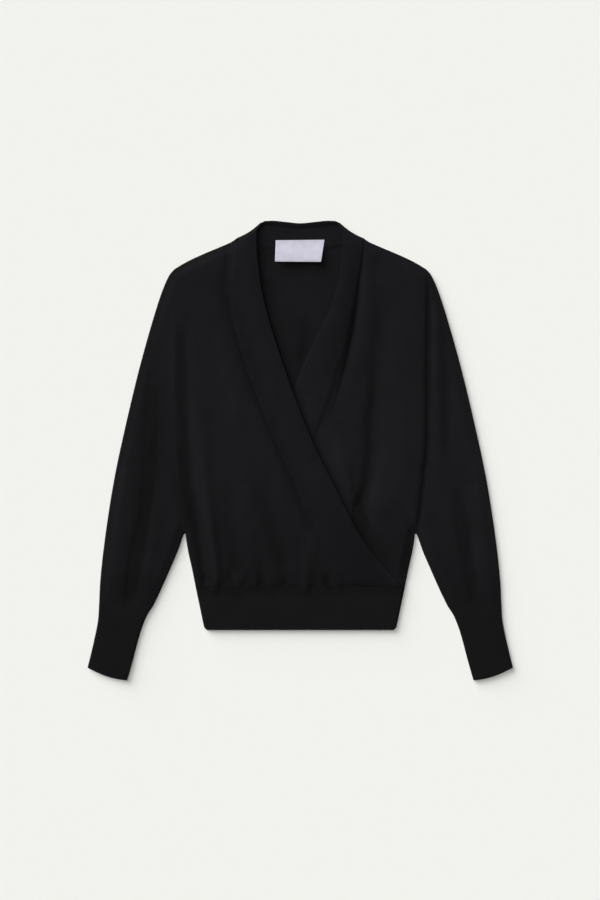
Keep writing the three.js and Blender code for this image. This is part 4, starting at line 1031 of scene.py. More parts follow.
@dataclass(frozen=True)
class KnitFinish:
    """Matt black knitted cloth: fine V stitches, or fine ribs where `rib` is above zero, in millimetres."""

    name: str
    colour: tuple = (0.0088, 0.0085, 0.0096)
    wale: float = 1.25
    course: float = 0.95
    rib: float = 0.0
    relief: float = 0.5
    sheen: float = 0.02
    relief_depth: float = 0.00016
    loop_share: float = 0.35
    groove_share: float = 0.65
    rib_stitches: float = 0.5
    fuzz_scale: float = 3.2
    fuzz_detail: float = 3.0
    fuzz_share: float = 0.5
    patch_scale: float = 0.03
    patch_detail: float = 4.0
    patch_fuzz: tuple = (0.8, 1.2)
    patch_tones: tuple = ((0.3, 0.92), (0.7, 1.08))
    roughness: tuple = (0.86, 0.98)
    specular: float = 0.06
    sheen_roughness: float = 0.5
    sheen_tint: tuple = (0.32, 0.32, 0.4, 1)

    def height(self, nodes: Nodes, across: Socket, along: Socket) -> Socket:
        """Return the stitches' height.

        Args:
            nodes: the material's node tree.
            across: the stitch coordinate across the wales.
            along: the one along them.

        Returns:
            The height, without the yarn's fuzz.
        """
        column = nodes.math("DIVIDE", across, self.wale)
        slant = nodes.math("ABSOLUTE", nodes.math("SUBTRACT", nodes.math("FRACT", column), 0.5))
        course = nodes.math("ADD", nodes.math("DIVIDE", along, self.course), slant)
        loop = nodes.math("SINE", nodes.math("MULTIPLY", course, 2 * math.pi))
        groove = nodes.math("ABSOLUTE", nodes.math("SINE", nodes.math("MULTIPLY", column, 2 * math.pi)))
        loops = nodes.math("MULTIPLY", loop, self.loop_share)
        height = nodes.math("ADD", loops, nodes.math("MULTIPLY", groove, self.groove_share))
        if not self.rib:
            return height
        ridge = nodes.math("SINE", nodes.math("MULTIPLY", across, 2 * math.pi / self.rib))
        return nodes.math("ADD", nodes.math("MULTIPLY", height, self.rib_stitches), ridge)

    def material(self) -> bpy.types.Material:
        """Return the finish as a node material."""
        nodes = Nodes(self.name)
        place, across, along = nodes.stitch()
        height = self.height(nodes, across, along)
        fuzz = nodes.noise(place, self.fuzz_scale, self.fuzz_detail)
        height = nodes.math("ADD", height, nodes.math("MULTIPLY", fuzz, self.fuzz_share))
        nodes.bump(height, self.relief, self.relief_depth)
        patches = nodes.noise(place, self.patch_scale, self.patch_detail)
        patchy = nodes.math("MULTIPLY", patches, nodes.range(fuzz, *self.patch_fuzz))
        # Painted shading: the base colour is scaled darker in troughs and hollows and lighter on crests
        colour = nodes.toned(nodes.ramp(patchy, tones(self.colour, self.patch_tones)), "painted_shading")
        nodes.link(colour, nodes.shader.inputs["Base Color"])
        nodes.link(nodes.range(fuzz, *self.roughness), nodes.shader.inputs["Roughness"])
        nodes.shader.inputs["Specular IOR Level"].default_value = self.specular
        nodes.shader.inputs["Sheen Weight"].default_value = self.sheen
        nodes.shader.inputs["Sheen Roughness"].default_value = self.sheen_roughness
        nodes.shader.inputs["Sheen Tint"].default_value = self.sheen_tint
        return nodes.material


@dataclass(frozen=True)
class LabelFinish:
    """Pale woven satin, left bare."""

    name: str = "label_satin"
    colour: tuple = (0.525, 0.512, 0.60)
    thread: float = 0.42
    warp: float = 2.2
    weft_share: float = 0.7
    cross_share: float = 0.3
    fuzz_scale: float = 1.4
    fuzz_detail: float = 3.0
    relief: float = 0.35
    relief_depth: float = 0.00008
    soft_scale: float = 0.09
    soft_detail: float = 2.0
    soft_tones: tuple = ((0.3, 0.93), (0.7, 1.05))
    roughness: tuple = (0.5, 0.66)
    specular: float = 0.3
    sheen: float = 0.15

    def material(self) -> bpy.types.Material:
        """Return the finish as a node material."""
        nodes = Nodes(self.name)
        place, across, along = nodes.stitch()
        weft = nodes.math("SINE", nodes.math("MULTIPLY", along, 2 * math.pi / self.thread))
        warp = nodes.math("SINE", nodes.math("MULTIPLY", across, 2 * math.pi / (self.warp * self.thread)))
        wefts = nodes.math("MULTIPLY", weft, self.weft_share)
        crossed = nodes.math("MULTIPLY", nodes.math("MULTIPLY", weft, warp), self.cross_share)
        weave = nodes.math("ADD", wefts, crossed)
        fuzz = nodes.noise(place, self.fuzz_scale, self.fuzz_detail)
        nodes.bump(nodes.math("ADD", weave, fuzz), self.relief, self.relief_depth)
        soft = nodes.noise(place, self.soft_scale, self.soft_detail)
        colour = nodes.ramp(soft, tones(self.colour, self.soft_tones))
        nodes.link(colour, nodes.shader.inputs["Base Color"])
        nodes.link(nodes.range(fuzz, *self.roughness), nodes.shader.inputs["Roughness"])
        nodes.shader.inputs["Specular IOR Level"].default_value = self.specular
        nodes.shader.inputs["Sheen Weight"].default_value = self.sheen
        return nodes.material


# Pieces


@dataclass
class Front:
    """One front panel, from the outer side to the neckband's seam."""

    lie: Lie
    side: Side
    seam: Array
    finish: bpy.types.Material
    flat: tuple = (0.262, 0.502)
    area: float = 0.070
    rows: int = 256
    columns: int = 184
    foot_clearance: float = 0.02
    foot_lean: float = 0.5

    def edges(self) -> tuple[Array, Array, Array]:
        """Return the panel's outer edge, its edge at the neckband and its upper edge, as plan lines."""
        outline, sign = self.lie.outline, self.side.value
        outer = outline.panel_side(self.lie.walls.jersey)
        top = outline.panel_shoulder(outer[-1])
        top[-1, 1] = outline.neck_corner[1]
        inner = self.seam[::-1].copy()
        inner[:, 0] += sign * outline.seam_gap
        inner = inner[inner[:, 1] > outer[0, 1] + self.foot_clearance]
        foot = np.array([[inner[0, 0] + (inner[0, 0] - inner[1, 0]) * self.foot_lean, outer[0, 1]]])
        top = top * (sign, 1)
        return outer * (sign, 1), np.concatenate([foot, inner, top[-1:]]), top

    def grid(self) -> Cloth:
        """Return the panel's grid: rows from the waist seam up, columns from the wearer's right to the left."""
        outline, wall = self.lie.outline, self.lie.walls.jersey
        outer_line, inner_line, top_line = self.edges()
        outer, up = divided(outer_line, SEWN_STEPS, TURNED_STEPS, self.rows)
        inner, _ = divided(inner_line, SEWN_STEPS, TURNED_STEPS, self.rows)
        bottom, across = divided(np.stack([outer[0], inner[0]]), TURNED_STEPS, SEWN_STEPS, self.columns)
        top, _ = divided(top_line, TURNED_STEPS, SEWN_STEPS, self.columns)
        plan = patch(bottom, top, outer, inner)
        armhole = outer[:, 1] > outline.underarm[1]
        share = np.minimum(seam_share(up)[:, None], seam_share(across[-1] - across)[None, :])
        share = np.minimum(share, np.where(armhole[:, None], seam_share(across)[None, :], 1.0))
        height = self.lie.right_front if self.side is Side.RIGHT else self.lie.left_front
        x, y = plan[..., 0], plan[..., 1]
        least = wall / 2 + self.lie.turn_radius + outline.seam_gap / 2
        middle = np.stack([x, y, np.maximum(least, height(x, y))], axis=-1)
        outer_column = 0
        if self.side is Side.LEFT:
            middle, share, outer_column = middle[:, ::-1].copy(), share[:, ::-1].copy(), self.columns - 1
        # Painted shading of the colour, from the folds and the listed soft lines
        painted_shading = self.lie.painted_shading(middle[..., 0], middle[..., 1])
        cloth = Cloth(middle, wall, share, middle[..., :2].copy(), painted_shading)
        cloth.hold_row(0, Edge.SEWN)
        cloth.hold_row(-1, Edge.TURNED)
        cloth.hold_column(outer_column, ~armhole)
        cloth.hold_column(self.columns - 1 - outer_column, np.zeros(self.rows, bool))
        return cloth

    def build(self) -> bpy.types.Object:
        """Make the panel, dress it and say what it stands for."""
        name = f"front_{self.side.name.lower()}"
        piece = self.grid().piece(f"{name}_knit")
        return dress(piece, self.finish, name)


@dataclass
class Back:
    """The back panel, which lies on the surface."""

    lie: Lie
    neck_seam: Array
    finish: bpy.types.Material
    flat: tuple = (0.364, 0.502)
    area: float = 0.172
    rows: int = 190
    columns: int = 150

    def grid(self) -> Cloth:
        """Return the panel's grid: rows from the waist seam up, columns from the wearer's right to the left."""
        outline, wall = self.lie.outline, self.lie.walls.jersey
        side = outline.panel_side(wall)
        neck = self.neck_seam.copy()
        neck[:, 1] -= outline.seam_gap
        half = np.concatenate([outline.panel_shoulder(side[-1]), neck])
        top_line = np.concatenate([half * (-1, 1), half[::-1][1:]])
        right, up = divided(side, SEWN_STEPS, TURNED_STEPS, self.rows)
        left = right * (-1, 1)
        bottom, _ = divided(np.stack([left[0], right[0]]), TURNED_STEPS, TURNED_STEPS, self.columns)
        top, _ = divided(top_line, TURNED_STEPS, TURNED_STEPS, self.columns)
        plan = patch(bottom, top, left, right)
        x, y = plan[..., 0], plan[..., 1]
        most = wall / 2 + self.lie.turn_radius - outline.seam_gap / 2
        z = np.minimum(most, self.lie.lower(x, y, wall))
        share = np.repeat(seam_share(up)[:, None], self.columns, axis=1)
        # The back's colour carries painted shade where it shows inside the neck
        cloth = Cloth(np.stack([x, y, z], axis=-1), wall, share, plan.copy(), self.lie.back_painted_shading(x, y))
        cloth.hold_row(0, Edge.SEWN)
        shoulders = np.abs(plan[-1, :, 0]) > outline.neck_corner[0]
        hold = np.zeros_like(cloth.middle)
        square = flat_square(np.gradient(cloth.middle[-1], axis=0))
        hold[-1] = np.where(shoulders[:, None], UPRIGHT, square)
        cloth.holds.append(hold)
        turned = left[:, 1] <= outline.underarm[1]
        cloth.hold_column(0, turned)
        cloth.hold_column(-1, turned)
        return cloth

    def build(self) -> bpy.types.Object:
        """Make the panel, dress it and say what it stands for."""
        piece = self.grid().piece("back_knit")
        return dress(piece, self.finish, "back")


@dataclass
class Tube:
    """A flattened tube of cloth between two plan lines: rings run down it, and its two layers meet at turned edges."""

    lie: Lie
    wall: float
    upper_columns: int
    lower_columns: int
    narrowing: float = 0.6
    painted_shading_heights: tuple = (-0.5, 1.0)

    def rings(
        self, plan: Plan, alongs: Array, widths: Array, upper: Height, lower: Height, reverse: bool,
    ) -> Array:
        """Return the tube's middle.

        Args:
            plan: gives the level place for shares along the tube and across it.
            alongs: the rings' shares of the tube's length.
            widths: each ring's width, in millimetres.
            upper: the upper layer's height at a place.
            lower: the lower layer's height.
            reverse: turns the rings round, for the wearer's right side.

        Returns:
            The rings' places.
        """
        centre = self.wall / 2 + self.lie.turn_radius
        layers = []
        for count, is_upper in ((self.upper_columns, True), (self.lower_columns, False)):
            shares = np.stack([spaced(w, TURNED_STEPS, TURNED_STEPS, count) / w for w in widths])
            where = plan(np.repeat(alongs[:, None], count, axis=1), shares)
            x, y = where[..., 0], where[..., 1]
            inner = self.narrowing * widths[:, None] * np.minimum(shares, 1 - shares)
            least = self.lie.turned(np.maximum(0, inner))
            z = np.maximum(upper(x, y), centre + least) if is_upper else np.minimum(lower(x, y), centre - least)
            z[:, 0] = z[:, -1] = centre
            places = np.stack([x, y, z], axis=-1)
            layers.append(places if is_upper else places[:, 1:-1][:, ::-1])
        grid = np.concatenate(layers, axis=1)
        return grid[:, ::-1].copy() if reverse else grid

    def painted_shading(self, middle: Array) -> Array:
        """Return the painted shading round the tube, which the layer on the surface goes without."""
        above = smooth(*self.painted_shading_heights, middle[..., 2] - self.wall / 2 - self.lie.turn_radius)
        return self.lie.painted_shading(middle[..., 0], middle[..., 1]) * above


# The least sine of the angle at which a run across a tube meets its edge
LEAST_SLANT = 0.4
# How far sleeves and cuffs slant outwards, in degrees
SLEEVE_SLANT = 15


def tube_plan(outer: Route, inner: Route, sign: int, wall: float, bulge: Plan) -> Plan:
    """Return a call that gives places across a tube whose two edges are curves, drawn in by half the wall.

    Args:
        outer: the tube's outer edge.
        inner: its inner edge.
        sign: the side that the tube is on.
        wall: the cloth's thickness.
        bulge: how far a place moves in plan, for shares along and across.

    Returns:
        A call from shares along and across to (x, y).
    """
    def place(along: Array, across: Array) -> Array:
        """Return (x, y) for shares along and across the tube."""
        first, second = outer.at(along * outer.length), inner.at(along * inner.length)
        run = second - first
        width = np.linalg.norm(run, axis=-1)

        def slant(tangent: Array) -> Array:
            """Return how squarely an edge's direction crosses the run."""
            crossing = np.abs(run[..., 0] * tangent[..., 1] - run[..., 1] * tangent[..., 0])
            return np.maximum(LEAST_SLANT, crossing / width)

        start = wall / 2 / slant(outer.tangent(along * outer.length)) / width
        end = 1 - wall / 2 / slant(inner.tangent(along * inner.length)) / width
        share = mix(start, end, across)
        spot = first + run * share[..., None] + bulge(along, share)
        return spot * (sign, 1)

    return place


def slanted(middle: Array, sign: int) -> Array:
    """Return stitch coordinates that run down a sleeve on the side of a sign."""
    turn = math.radians(SLEEVE_SLANT) * sign
    x, y = middle[..., 0], middle[..., 1]
    across = x * math.cos(turn) + y * math.sin(turn)
    return np.stack([across, y * math.cos(turn) - x * math.sin(turn)], axis=-1)


@dataclass
class Sleeve:
    """One sleeve, a wide flattened tube from the armhole seam to the cuff."""

    lie: Lie
    side: Side
    finish: bpy.types.Material
    flat: tuple = (0.235, 0.500)
    area: float = 0.0685
    rows: int = 190
    upper_columns: int = 76
    lower_columns: int = 44
    length: float = 420.0
    crowding: float = 1.25
    end_gap: float = 0.0002

    def grid(self) -> Cloth:
        """Return the sleeve's grid: rings from the armhole to the cuff."""
        outline, wall, sign = self.lie.outline, self.lie.walls.jersey, self.side.value
        outer = Route(outline.sleeve_outer)
        inner = Route([outline.underarm, *outline.sleeve_inner])
        top, foot = np.array(outline.armhole[0]), np.array(outline.armhole[-1])

        def bulge(along: Array, share: Array) -> Array:
            """Bring the first ring onto the armhole seam."""
            straight = top + (foot - top) * share[..., None]
            shift = (outline.armhole_x(straight[..., 1]) - straight[..., 0]) * (1 - along) ** 2
            return np.stack([shift + outline.seam_gap / 2 * (1 - along), np.zeros_like(shift)], axis=-1)

        even = spaced(self.length, SEWN_STEPS, SEWN_STEPS, self.rows) / self.length
        alongs = np.clip(even**self.crowding, 0, 1 - self.end_gap)
        widths = np.linalg.norm(inner.at(alongs * inner.length) - outer.at(alongs * outer.length), axis=-1)
        tube = Tube(self.lie, wall, self.upper_columns, self.lower_columns)

        def upper(x: Array, y: Array) -> Array:
            """Keep the upper layer clear of the lower one."""
            edge = self.lie.turned_edge(self.lie.inside(x, y, wall), wall)
            return np.maximum(self.lie.upper(x, y, wall), self.lie.clear(edge, wall))

        middle = tube.rings(
            tube_plan(outer, inner, sign, wall, bulge), alongs, widths, upper,
            lambda x, y: self.lie.lower(x, y, wall), self.side is Side.RIGHT,
        )
        ends = np.minimum(even, 1 - even) * self.length
        share = np.repeat(seam_share(ends)[:, None], middle.shape[1], axis=1)
        # The sleeve's colour carries painted shading from its folds and soft lines
        cloth = Cloth(middle, wall, share, slanted(middle, sign), tube.painted_shading(middle), ring=True)
        cloth.hold_row(0, Edge.SEWN)
        cloth.hold_row(-1, Edge.SEWN)
        return cloth

    def build(self) -> bpy.types.Object:
        """Make the sleeve, dress it and say what it stands for."""
        name = f"sleeve_{self.side.name.lower()}"
        piece = self.grid().piece(f"{name}_knit")
        return dress(piece, self.finish, name)


@dataclass
class Cuff:
    """One long narrow cuff, open at the hand."""

    lie: Lie
    side: Side
    finish: bpy.types.Material
    flat: tuple = (0.142, 0.104)
    area: float = 0.0134
    rows: int = 66
    upper_columns: int = 48
    lower_columns: int = 34
    length: float = 100.0
    start: float = 0.0008
    height: float = 6.3
    bow: float = 3.5
    open_y: float = -300.0
    fold_y: tuple = (-246, -214)
    painted_shading_share: float = 0.2

    def grid(self) -> Cloth:
        """Return the cuff's grid: rings from the sleeve's seam to the open end."""
        outline, wall = self.lie.outline, self.lie.walls.rib
        outer, inner = Route(outline.cuff_outer), Route(outline.cuff_inner)

        def bulge(along: Array, share: Array) -> Array:
            """Bow the cuff's end outwards."""
            return np.stack([np.zeros_like(share), -self.bow * along * np.sin(math.pi * share)], axis=-1)

        even = spaced(self.length, SEWN_STEPS, OPEN_STEPS, self.rows) / self.length
        alongs = mix(self.start, 1.0, even)
        widths = np.linalg.norm(inner.at(alongs * inner.length) - outer.at(alongs * outer.length), axis=-1)

        def upper(x: Array, y: Array) -> Array:
            """Return the upper layer's height, flat between the turned edges."""
            distance = self.lie.inside(x, np.maximum(y, self.open_y), wall)
            edge = self.lie.turned_edge(distance, wall)
            fold = self.lie.rises(x, y) * smooth(*self.fold_y, y)
            full = np.maximum(edge, self.height + fold)
            return mix(edge, full, smooth(self.lie.turn_radius, self.lie.edge_rise, distance))

        tube = Tube(self.lie, wall, self.upper_columns, self.lower_columns)
        middle = tube.rings(
            tube_plan(outer, inner, self.side.value, wall, bulge), alongs, widths, upper,
            lambda x, y: self.lie.lower(x, y, wall), self.side is Side.RIGHT,
        )
        share = np.minimum(seam_share(even * self.length), open_share((1 - even) * self.length))
        share = np.repeat(share[:, None], middle.shape[1], axis=1)
        # Only a share of the painted shading reaches the cuff
        painted_shading = self.painted_shading_share * tube.painted_shading(middle)
        cloth = Cloth(middle, wall, share, slanted(middle, self.side.value), painted_shading, ring=True)
        cloth.hold_row(0, Edge.SEWN)
        cloth.hold_row(-1, Edge.OPEN)
        return cloth

    def build(self) -> bpy.types.Object:
        """Make the cuff, dress it and say what it stands for."""
        name = f"cuff_{self.side.name.lower()}"
        piece = self.grid().piece(f"{name}_rib")
        return dress(piece, self.finish, name)


@dataclass
class Waistband:
    """The deep waistband, a flattened tube that is open at the hem."""

    lie: Lie
    band_foot: tuple
    finish: bpy.types.Material
    flat: tuple = (0.606, 0.0645)
    area: float = 0.0370
    rows: int = 44
    upper_columns: int = 170
    lower_columns: int = 90
    length: float = 64.5
    width: float = 280.0
    at_hem: float = 6.1
    hem_turn: float = 0.2
    rise_y: float = -214
    painted_shading_y: float = -218
    foot_sewn: tuple = (-2, 8)
    foot_free: float = 4

    def seam_height(self, x: Array) -> Array:
        """Return the height at which the band meets the fronts and the neckband's foot, level with their outer faces.

        Args:
            x: the places' x.

        Returns:
            The height of the middle of the band's upper layer at the seam.
        """
        lie, walls = self.lie, self.lie.walls
        y = np.full(np.shape(x), lie.outline.waist_seam_y)
        sewn_x, free_x, free_height = (self.band_foot[k] for k in (0, 2, 4))
        front = lie.right_front(x, y) + walls.jersey / 2
        foot = np.maximum(free_height, lie.hidden_top(x, y) + lie.layer_gap + walls.band / 2) + walls.band / 2
        top = mix(front, foot, smooth(*(sewn_x + reach for reach in self.foot_sewn), x))
        beyond = smooth(free_x - self.foot_free, free_x, x)
        return mix(top, lie.left_front(x, y) + walls.jersey / 2, beyond) - walls.rib / 2

    def grid(self) -> Cloth:
        """Return the waistband's grid: rings from the hem up."""
        outline, wall = self.lie.outline, self.lie.walls.rib
        top = outline.waist_seam_y - outline.seam_gap

        def edge_x(y: Array) -> Array:
            """Return the band's outermost x at a height."""
            return outline.side_x(np.maximum(y, outline.hem_y + self.hem_turn))

        def plan(along: Array, across: Array) -> Array:
            """Return (x, y) for shares up the band and across it."""
            y = mix(outline.hem_y, top, along)
            half = edge_x(y) - wall / 2
            return np.stack([mix(-half, half, across), y], axis=-1)

        def distance(x: Array, y: Array) -> Array:
            """Return how far inside the sides a place lies."""
            return np.maximum(0, edge_x(y) - np.abs(x) - wall / 2)

        def upper(x: Array, y: Array) -> Array:
            """Return the upper layer's height, with the gathers fading out below the seam."""
            inner = distance(x, y)
            edge = self.lie.turned_edge(inner, wall)
            full = mix(self.at_hem, self.seam_height(x), smooth(self.rise_y, outline.waist_seam_y, y))
            level = smooth(self.lie.turn_radius, self.lie.edge_rise, inner)
            return edge + (np.maximum(edge, full) - edge) * level

        def lower(x: Array, y: Array) -> Array:
            """Return the lower layer's height, turned up at the sides."""
            return wall / 2 + self.lie.turn_radius - self.lie.turned(distance(x, y))

        even = spaced(self.length, OPEN_STEPS, SEWN_STEPS, self.rows) / self.length
        tube = Tube(self.lie, wall, self.upper_columns, self.lower_columns)
        middle = tube.rings(plan, even, np.full(self.rows, self.width), upper, lower, False)
        share = np.minimum(open_share(even * self.length), seam_share((1 - even) * self.length))
        share = np.repeat(share[:, None], middle.shape[1], axis=1)
        # Painted shading fades out below the waist seam
        fade = smooth(self.painted_shading_y, outline.waist_seam_y, middle[..., 1])
        cloth = Cloth(middle, wall, share, middle[..., :2].copy(), tube.painted_shading(middle) * fade, ring=True)
        cloth.hold_row(0, Edge.OPEN)
        cloth.hold_row(-1, Edge.SEWN)
        return cloth

    def build(self) -> bpy.types.Object:
        """Make the waistband, dress it and say what it stands for."""
        piece = self.grid().piece("waistband_rib")
        return dress(piece, self.finish, "waistband")


@dataclass
class Neckband:
    """The doubled neckband, one strip up the right front, round the back of the neck and down the left front."""

    lie: Lie
    cut: BandCut
    finish: bpy.types.Material
    flat: tuple = (0.055, 1.260)
    area: float = 0.0577
    sections: int = 90
    columns: int = 34
    rows: int = 660
    width: float = 47.0
    folded_steps: tuple = (0.0, 0.1, 0.35, 0.75, 1.3, 2.0, 3.0)
    folded_share: float = 0.12
    folded_reach: float = 1.5
    sewn_share: float = 0.51
    sewn_swell: float = 7.0
    sewn_step: float = 0.12
    ripple: float = 0.14
    ripple_squeeze: float = 1.3
    turn_rows: int = 9
    turn_radius: float = 2.4
    turn_angle: float = 0.92
    turn_inset: float = 0.5
    turn_ease: tuple = (-0.3, 0.1)
    turn_bow: float = 2.2
    roll: float = 3.0
    roll_shares: tuple = (0.8, 0.97)
    painted_shading_margin: int = 6
    hold_rows: tuple = (4, 1, 2, 3)

    def shares(self) -> tuple[Array, Array]:
        """Return the columns' shares across the band, and the part of the wall at each."""
        across = spaced(self.width, SEWN_STEPS, self.folded_steps, self.columns)
        sewn = mix(self.sewn_share, 1.0, smooth(0, self.sewn_swell, across))
        folded = edge_share(self.width - across, self.folded_share, self.folded_reach)
        return across / self.width, np.minimum(sewn, folded)

    def table(self, side: Side) -> Array:
        """Return the sections down one front, from the side of the neck."""
        return self.cut.sections(self.cut.right if side is Side.RIGHT else self.cut.left, self.sections)

    def front_rows(self, side: Side) -> Array:
        """Return the band's middle down one front, from the side of the neck."""
        table = self.table(side)
        across, _ = self.shares()
        height = self.lie.right_front if side is Side.RIGHT else self.lie.left_front
        sewn = height(table[:, 0], table[:, 1])[:, None]
        x = mix(table[:, 0:1], table[:, 2:3], across)
        y = mix(table[:, 1:2], table[:, 3:4], across)
        step = (self.lie.walls.band - self.lie.walls.jersey) / 2 * smooth(0, self.sewn_step, across)
        z = mix(sewn + step, table[:, 4:5], smooth(0, 1, across)) + table[:, 5:6] * np.sin(math.pi * across)
        z = z + self.ripple * self.lie.uneven.height(x * self.ripple_squeeze, y) * np.sin(math.pi * across)
        if side is Side.RIGHT:
            least = self.lie.hidden_top(x, y) + self.lie.layer_gap + self.lie.walls.band / 2
            z = np.maximum(z, least)
        else:
            z = mix(self.lie.hidden_band, z, self.lie.uncovered(x, y))
        rows = np.stack([x, y, z], axis=-1)
        rows[-1, :, 1] = self.lie.outline.waist_seam_y + self.lie.outline.seam_gap
        return rows

    def back_rows(self) -> Array:
        """Return the band's middle across the back of the neck, from the wearer's right to the left."""
        table = np.asarray(self.cut.back, float)
        across, wall_share = self.shares()
        lying = self.lie.walls.band / 2 * np.where(across < 0.5, wall_share, 1.0)
        half = np.stack([
            mix(table[:, 0:1], table[:, 2:3], across), mix(table[:, 1:2], table[:, 3:4], across),
            np.repeat((lying + self.rolled(across))[None], len(table), axis=0),
        ], axis=-1)
        return np.concatenate([(half * (-1, 1, 1))[::-1], half[1:]])

    def rolled(self, across: Array) -> Array:
        """Return how far the free edge rolls up off the surface."""
        return self.roll * smooth(*self.roll_shares, across)

    def turn(self, side: Side) -> Array:
        """Return the rows that turn over at the side of the neck, from the front's layer down to the back's."""
        outline, across = self.lie.outline, self.shares()[0]
        neck, horn = np.array(outline.neck_point), np.array(outline.horn_point)
        axis = horn - neck
        inward = np.array([-axis[1], axis[0]]) / np.linalg.norm(axis)
        half_wall = self.lie.walls.band / 2
        rows = []
        for k in range(self.turn_rows):
            angle = self.turn_angle * mix(math.pi / 2, -math.pi / 2, (k + 0.5) / self.turn_rows)
            away = half_wall * mix(self.turn_inset, 1.0, smooth(0, self.sewn_step, across))
            away = away + self.turn_radius * (1 - math.cos(angle)) * smooth(*self.turn_ease, across)
            away = away + self.turn_bow * np.sin(math.pi * across)
            spot = neck + axis * across[:, None] + inward * away[:, None]
            lift = self.rolled(across) * float(smooth(0, math.pi / 2, -angle))
            z = half_wall + self.turn_radius * (1 + math.sin(angle)) + lift
            rows.append(np.stack([side.value * spot[:, 0], spot[:, 1], z], axis=-1))
        return np.stack(rows)

    def control(self) -> tuple[Array, int, int]:
        """Return all the rows in order, and where the back's part starts and ends."""
        right, left = self.front_rows(Side.RIGHT), self.front_rows(Side.LEFT)
        rows = [right[::-1], self.turn(Side.RIGHT), self.back_rows(), self.turn(Side.LEFT)[::-1], left]
        start = self.sections + self.turn_rows
        return np.concatenate(rows), start, start + len(rows[2])

    def grid(self) -> Cloth:
        """Return the band's grid: rows along its run, columns from the sewn edge to the free one."""
        rows, start, end = self.control()
        chords = np.linalg.norm(np.diff(rows[:, self.columns // 2], axis=0), axis=-1)
        knots = running(np.sqrt(chords))
        lengths = running(chords)
        places = spaced(lengths[-1], SEWN_STEPS, SEWN_STEPS, self.rows)
        middle = spline(rows, knots, np.interp(places, lengths, knots))
        across, share = self.shares()
        ends = np.minimum(places, lengths[-1] - places)
        share = np.minimum(share[None, :], seam_share(ends)[:, None])
        stitch = np.stack(np.broadcast_arrays((across * self.width)[None, :], places[:, None]), axis=-1)
        # Painted shading on the band down the fronts, none round the back of the neck
        fronts = (places < lengths[start - self.painted_shading_margin]) | (places > lengths[end + self.painted_shading_margin])
        painted_shading = self.lie.painted_shading(middle[..., 0], middle[..., 1]) * fronts[:, None]
        cloth = Cloth(middle, self.lie.walls.band, share, stitch.copy(), painted_shading)
        self.hold_seam(cloth, places, lengths, start, end)
        return cloth

    def hold_seam(self, cloth: Cloth, places: Array, lengths: Array, start: int, end: int) -> None:
        """Keep the sewn edge upright down the fronts and across the back, and the two ends upright at the waist."""
        hold = np.zeros_like(cloth.middle)
        upright = flat_square(np.gradient(cloth.middle[:, 0], axis=0))
        right, back_start, back_end, left = self.hold_rows
        run = places < lengths[self.sections - right]
        run |= (places > lengths[start + back_start]) & (places < lengths[end - back_end])
        run |= places > lengths[end + self.turn_rows + left]
        hold[:, 0] = upright * run[:, None]
        cloth.holds.append(hold)
        ends = np.zeros_like(cloth.middle)
        ends[0] = ends[-1] = (0, 1, 0)
        cloth.holds.append(ends)

    def seam(self, side: Side) -> Array:
        """Return the sewn edge down one front, in plan, from the neck."""
        return self.table(side)[:, :2].copy()

    def back_seam(self) -> Array:
        """Return the sewn edge across the back's left half, in plan, towards the middle."""
        table = np.asarray(self.cut.back, float)[::-1]
        return Route(table[:, :2]).line.copy()

    def build(self) -> bpy.types.Object:
        """Make the band, dress it and say what it stands for."""
        piece = self.grid().piece("neckband_doubled")
        return dress(piece, self.finish, "neckband")


@dataclass
class Label:
    """The bare woven label inside the back of the neck, sewn on by its upper edge."""

    lie: Lie
    finish: bpy.types.Material
    upper_left: tuple = (-35.5, 304.8)
    upper_right: tuple = (35.1, 305.6)
    lower_left: tuple = (-36.5, 273.4)
    lower_right: tuple = (30.1, 273.0)
    low: float = 11.5
    high: float = 3.75
    sag: float = 0.5
    wave: float = 0.12
    wave_length: float = 5.2
    wave_start: float = 1.1
    bulge: float = 0.1
    rim: tuple = (0.4, 1.0)
    size: tuple = (70, 33)
    flat: tuple = (0.0700, 0.0335)
    area: float = 0.00218
    rows: int = 44
    columns: int = 88

    def grid(self) -> Cloth:
        """Return the label's grid: rows from its free lower edge up."""
        u = np.linspace(0, 1, self.columns)[None, :, None]
        v = np.linspace(0, 1, self.rows)[:, None, None]
        lower = mix(np.array(self.lower_left), np.array(self.lower_right), u)
        upper = mix(np.array(self.upper_left), np.array(self.upper_right), u)
        plan = mix(lower, upper, v)
        u, v = u[..., 0], v[..., 0]
        z = mix(self.low, self.high, smooth(0, 1, v)) - self.sag * np.sin(math.pi * u) * (1 - v)
        z = z + self.wave * np.sin(self.wave_length * u + self.wave_start) * (1 - v)
        z = z + self.bulge * np.sin(math.pi * v)
        middle = np.concatenate([plan, z[..., None]], axis=-1)
        inner = np.minimum(np.minimum(u, 1 - u) * self.size[0], np.minimum(v, 1 - v) * self.size[1])
        return Cloth(middle, self.lie.walls.label, edge_share(inner, *self.rim), plan.copy())

    def build(self) -> bpy.types.Object:
        """Make the label, dress it and say what it stands for."""
        piece = self.grid().piece("label_woven")
        return dress(piece, self.finish, "label")


def dress(
    piece: bpy.types.Object, finish: bpy.types.Material, node: str,
) -> bpy.types.Object:
    """Give a piece its finish and its place on the frame, and hide the CAD part that it stands for.

    Args:
        piece: the new piece.
        finish: its material.
        node: the CAD node that it stands for.

    Returns:
        The piece.
    """
    piece.data.materials.append(finish)
    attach(piece, "root")
    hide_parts(node)
    LOG.info("%s: %d faces", piece.name, len(piece.data.polygons))
    return piece


# Studio


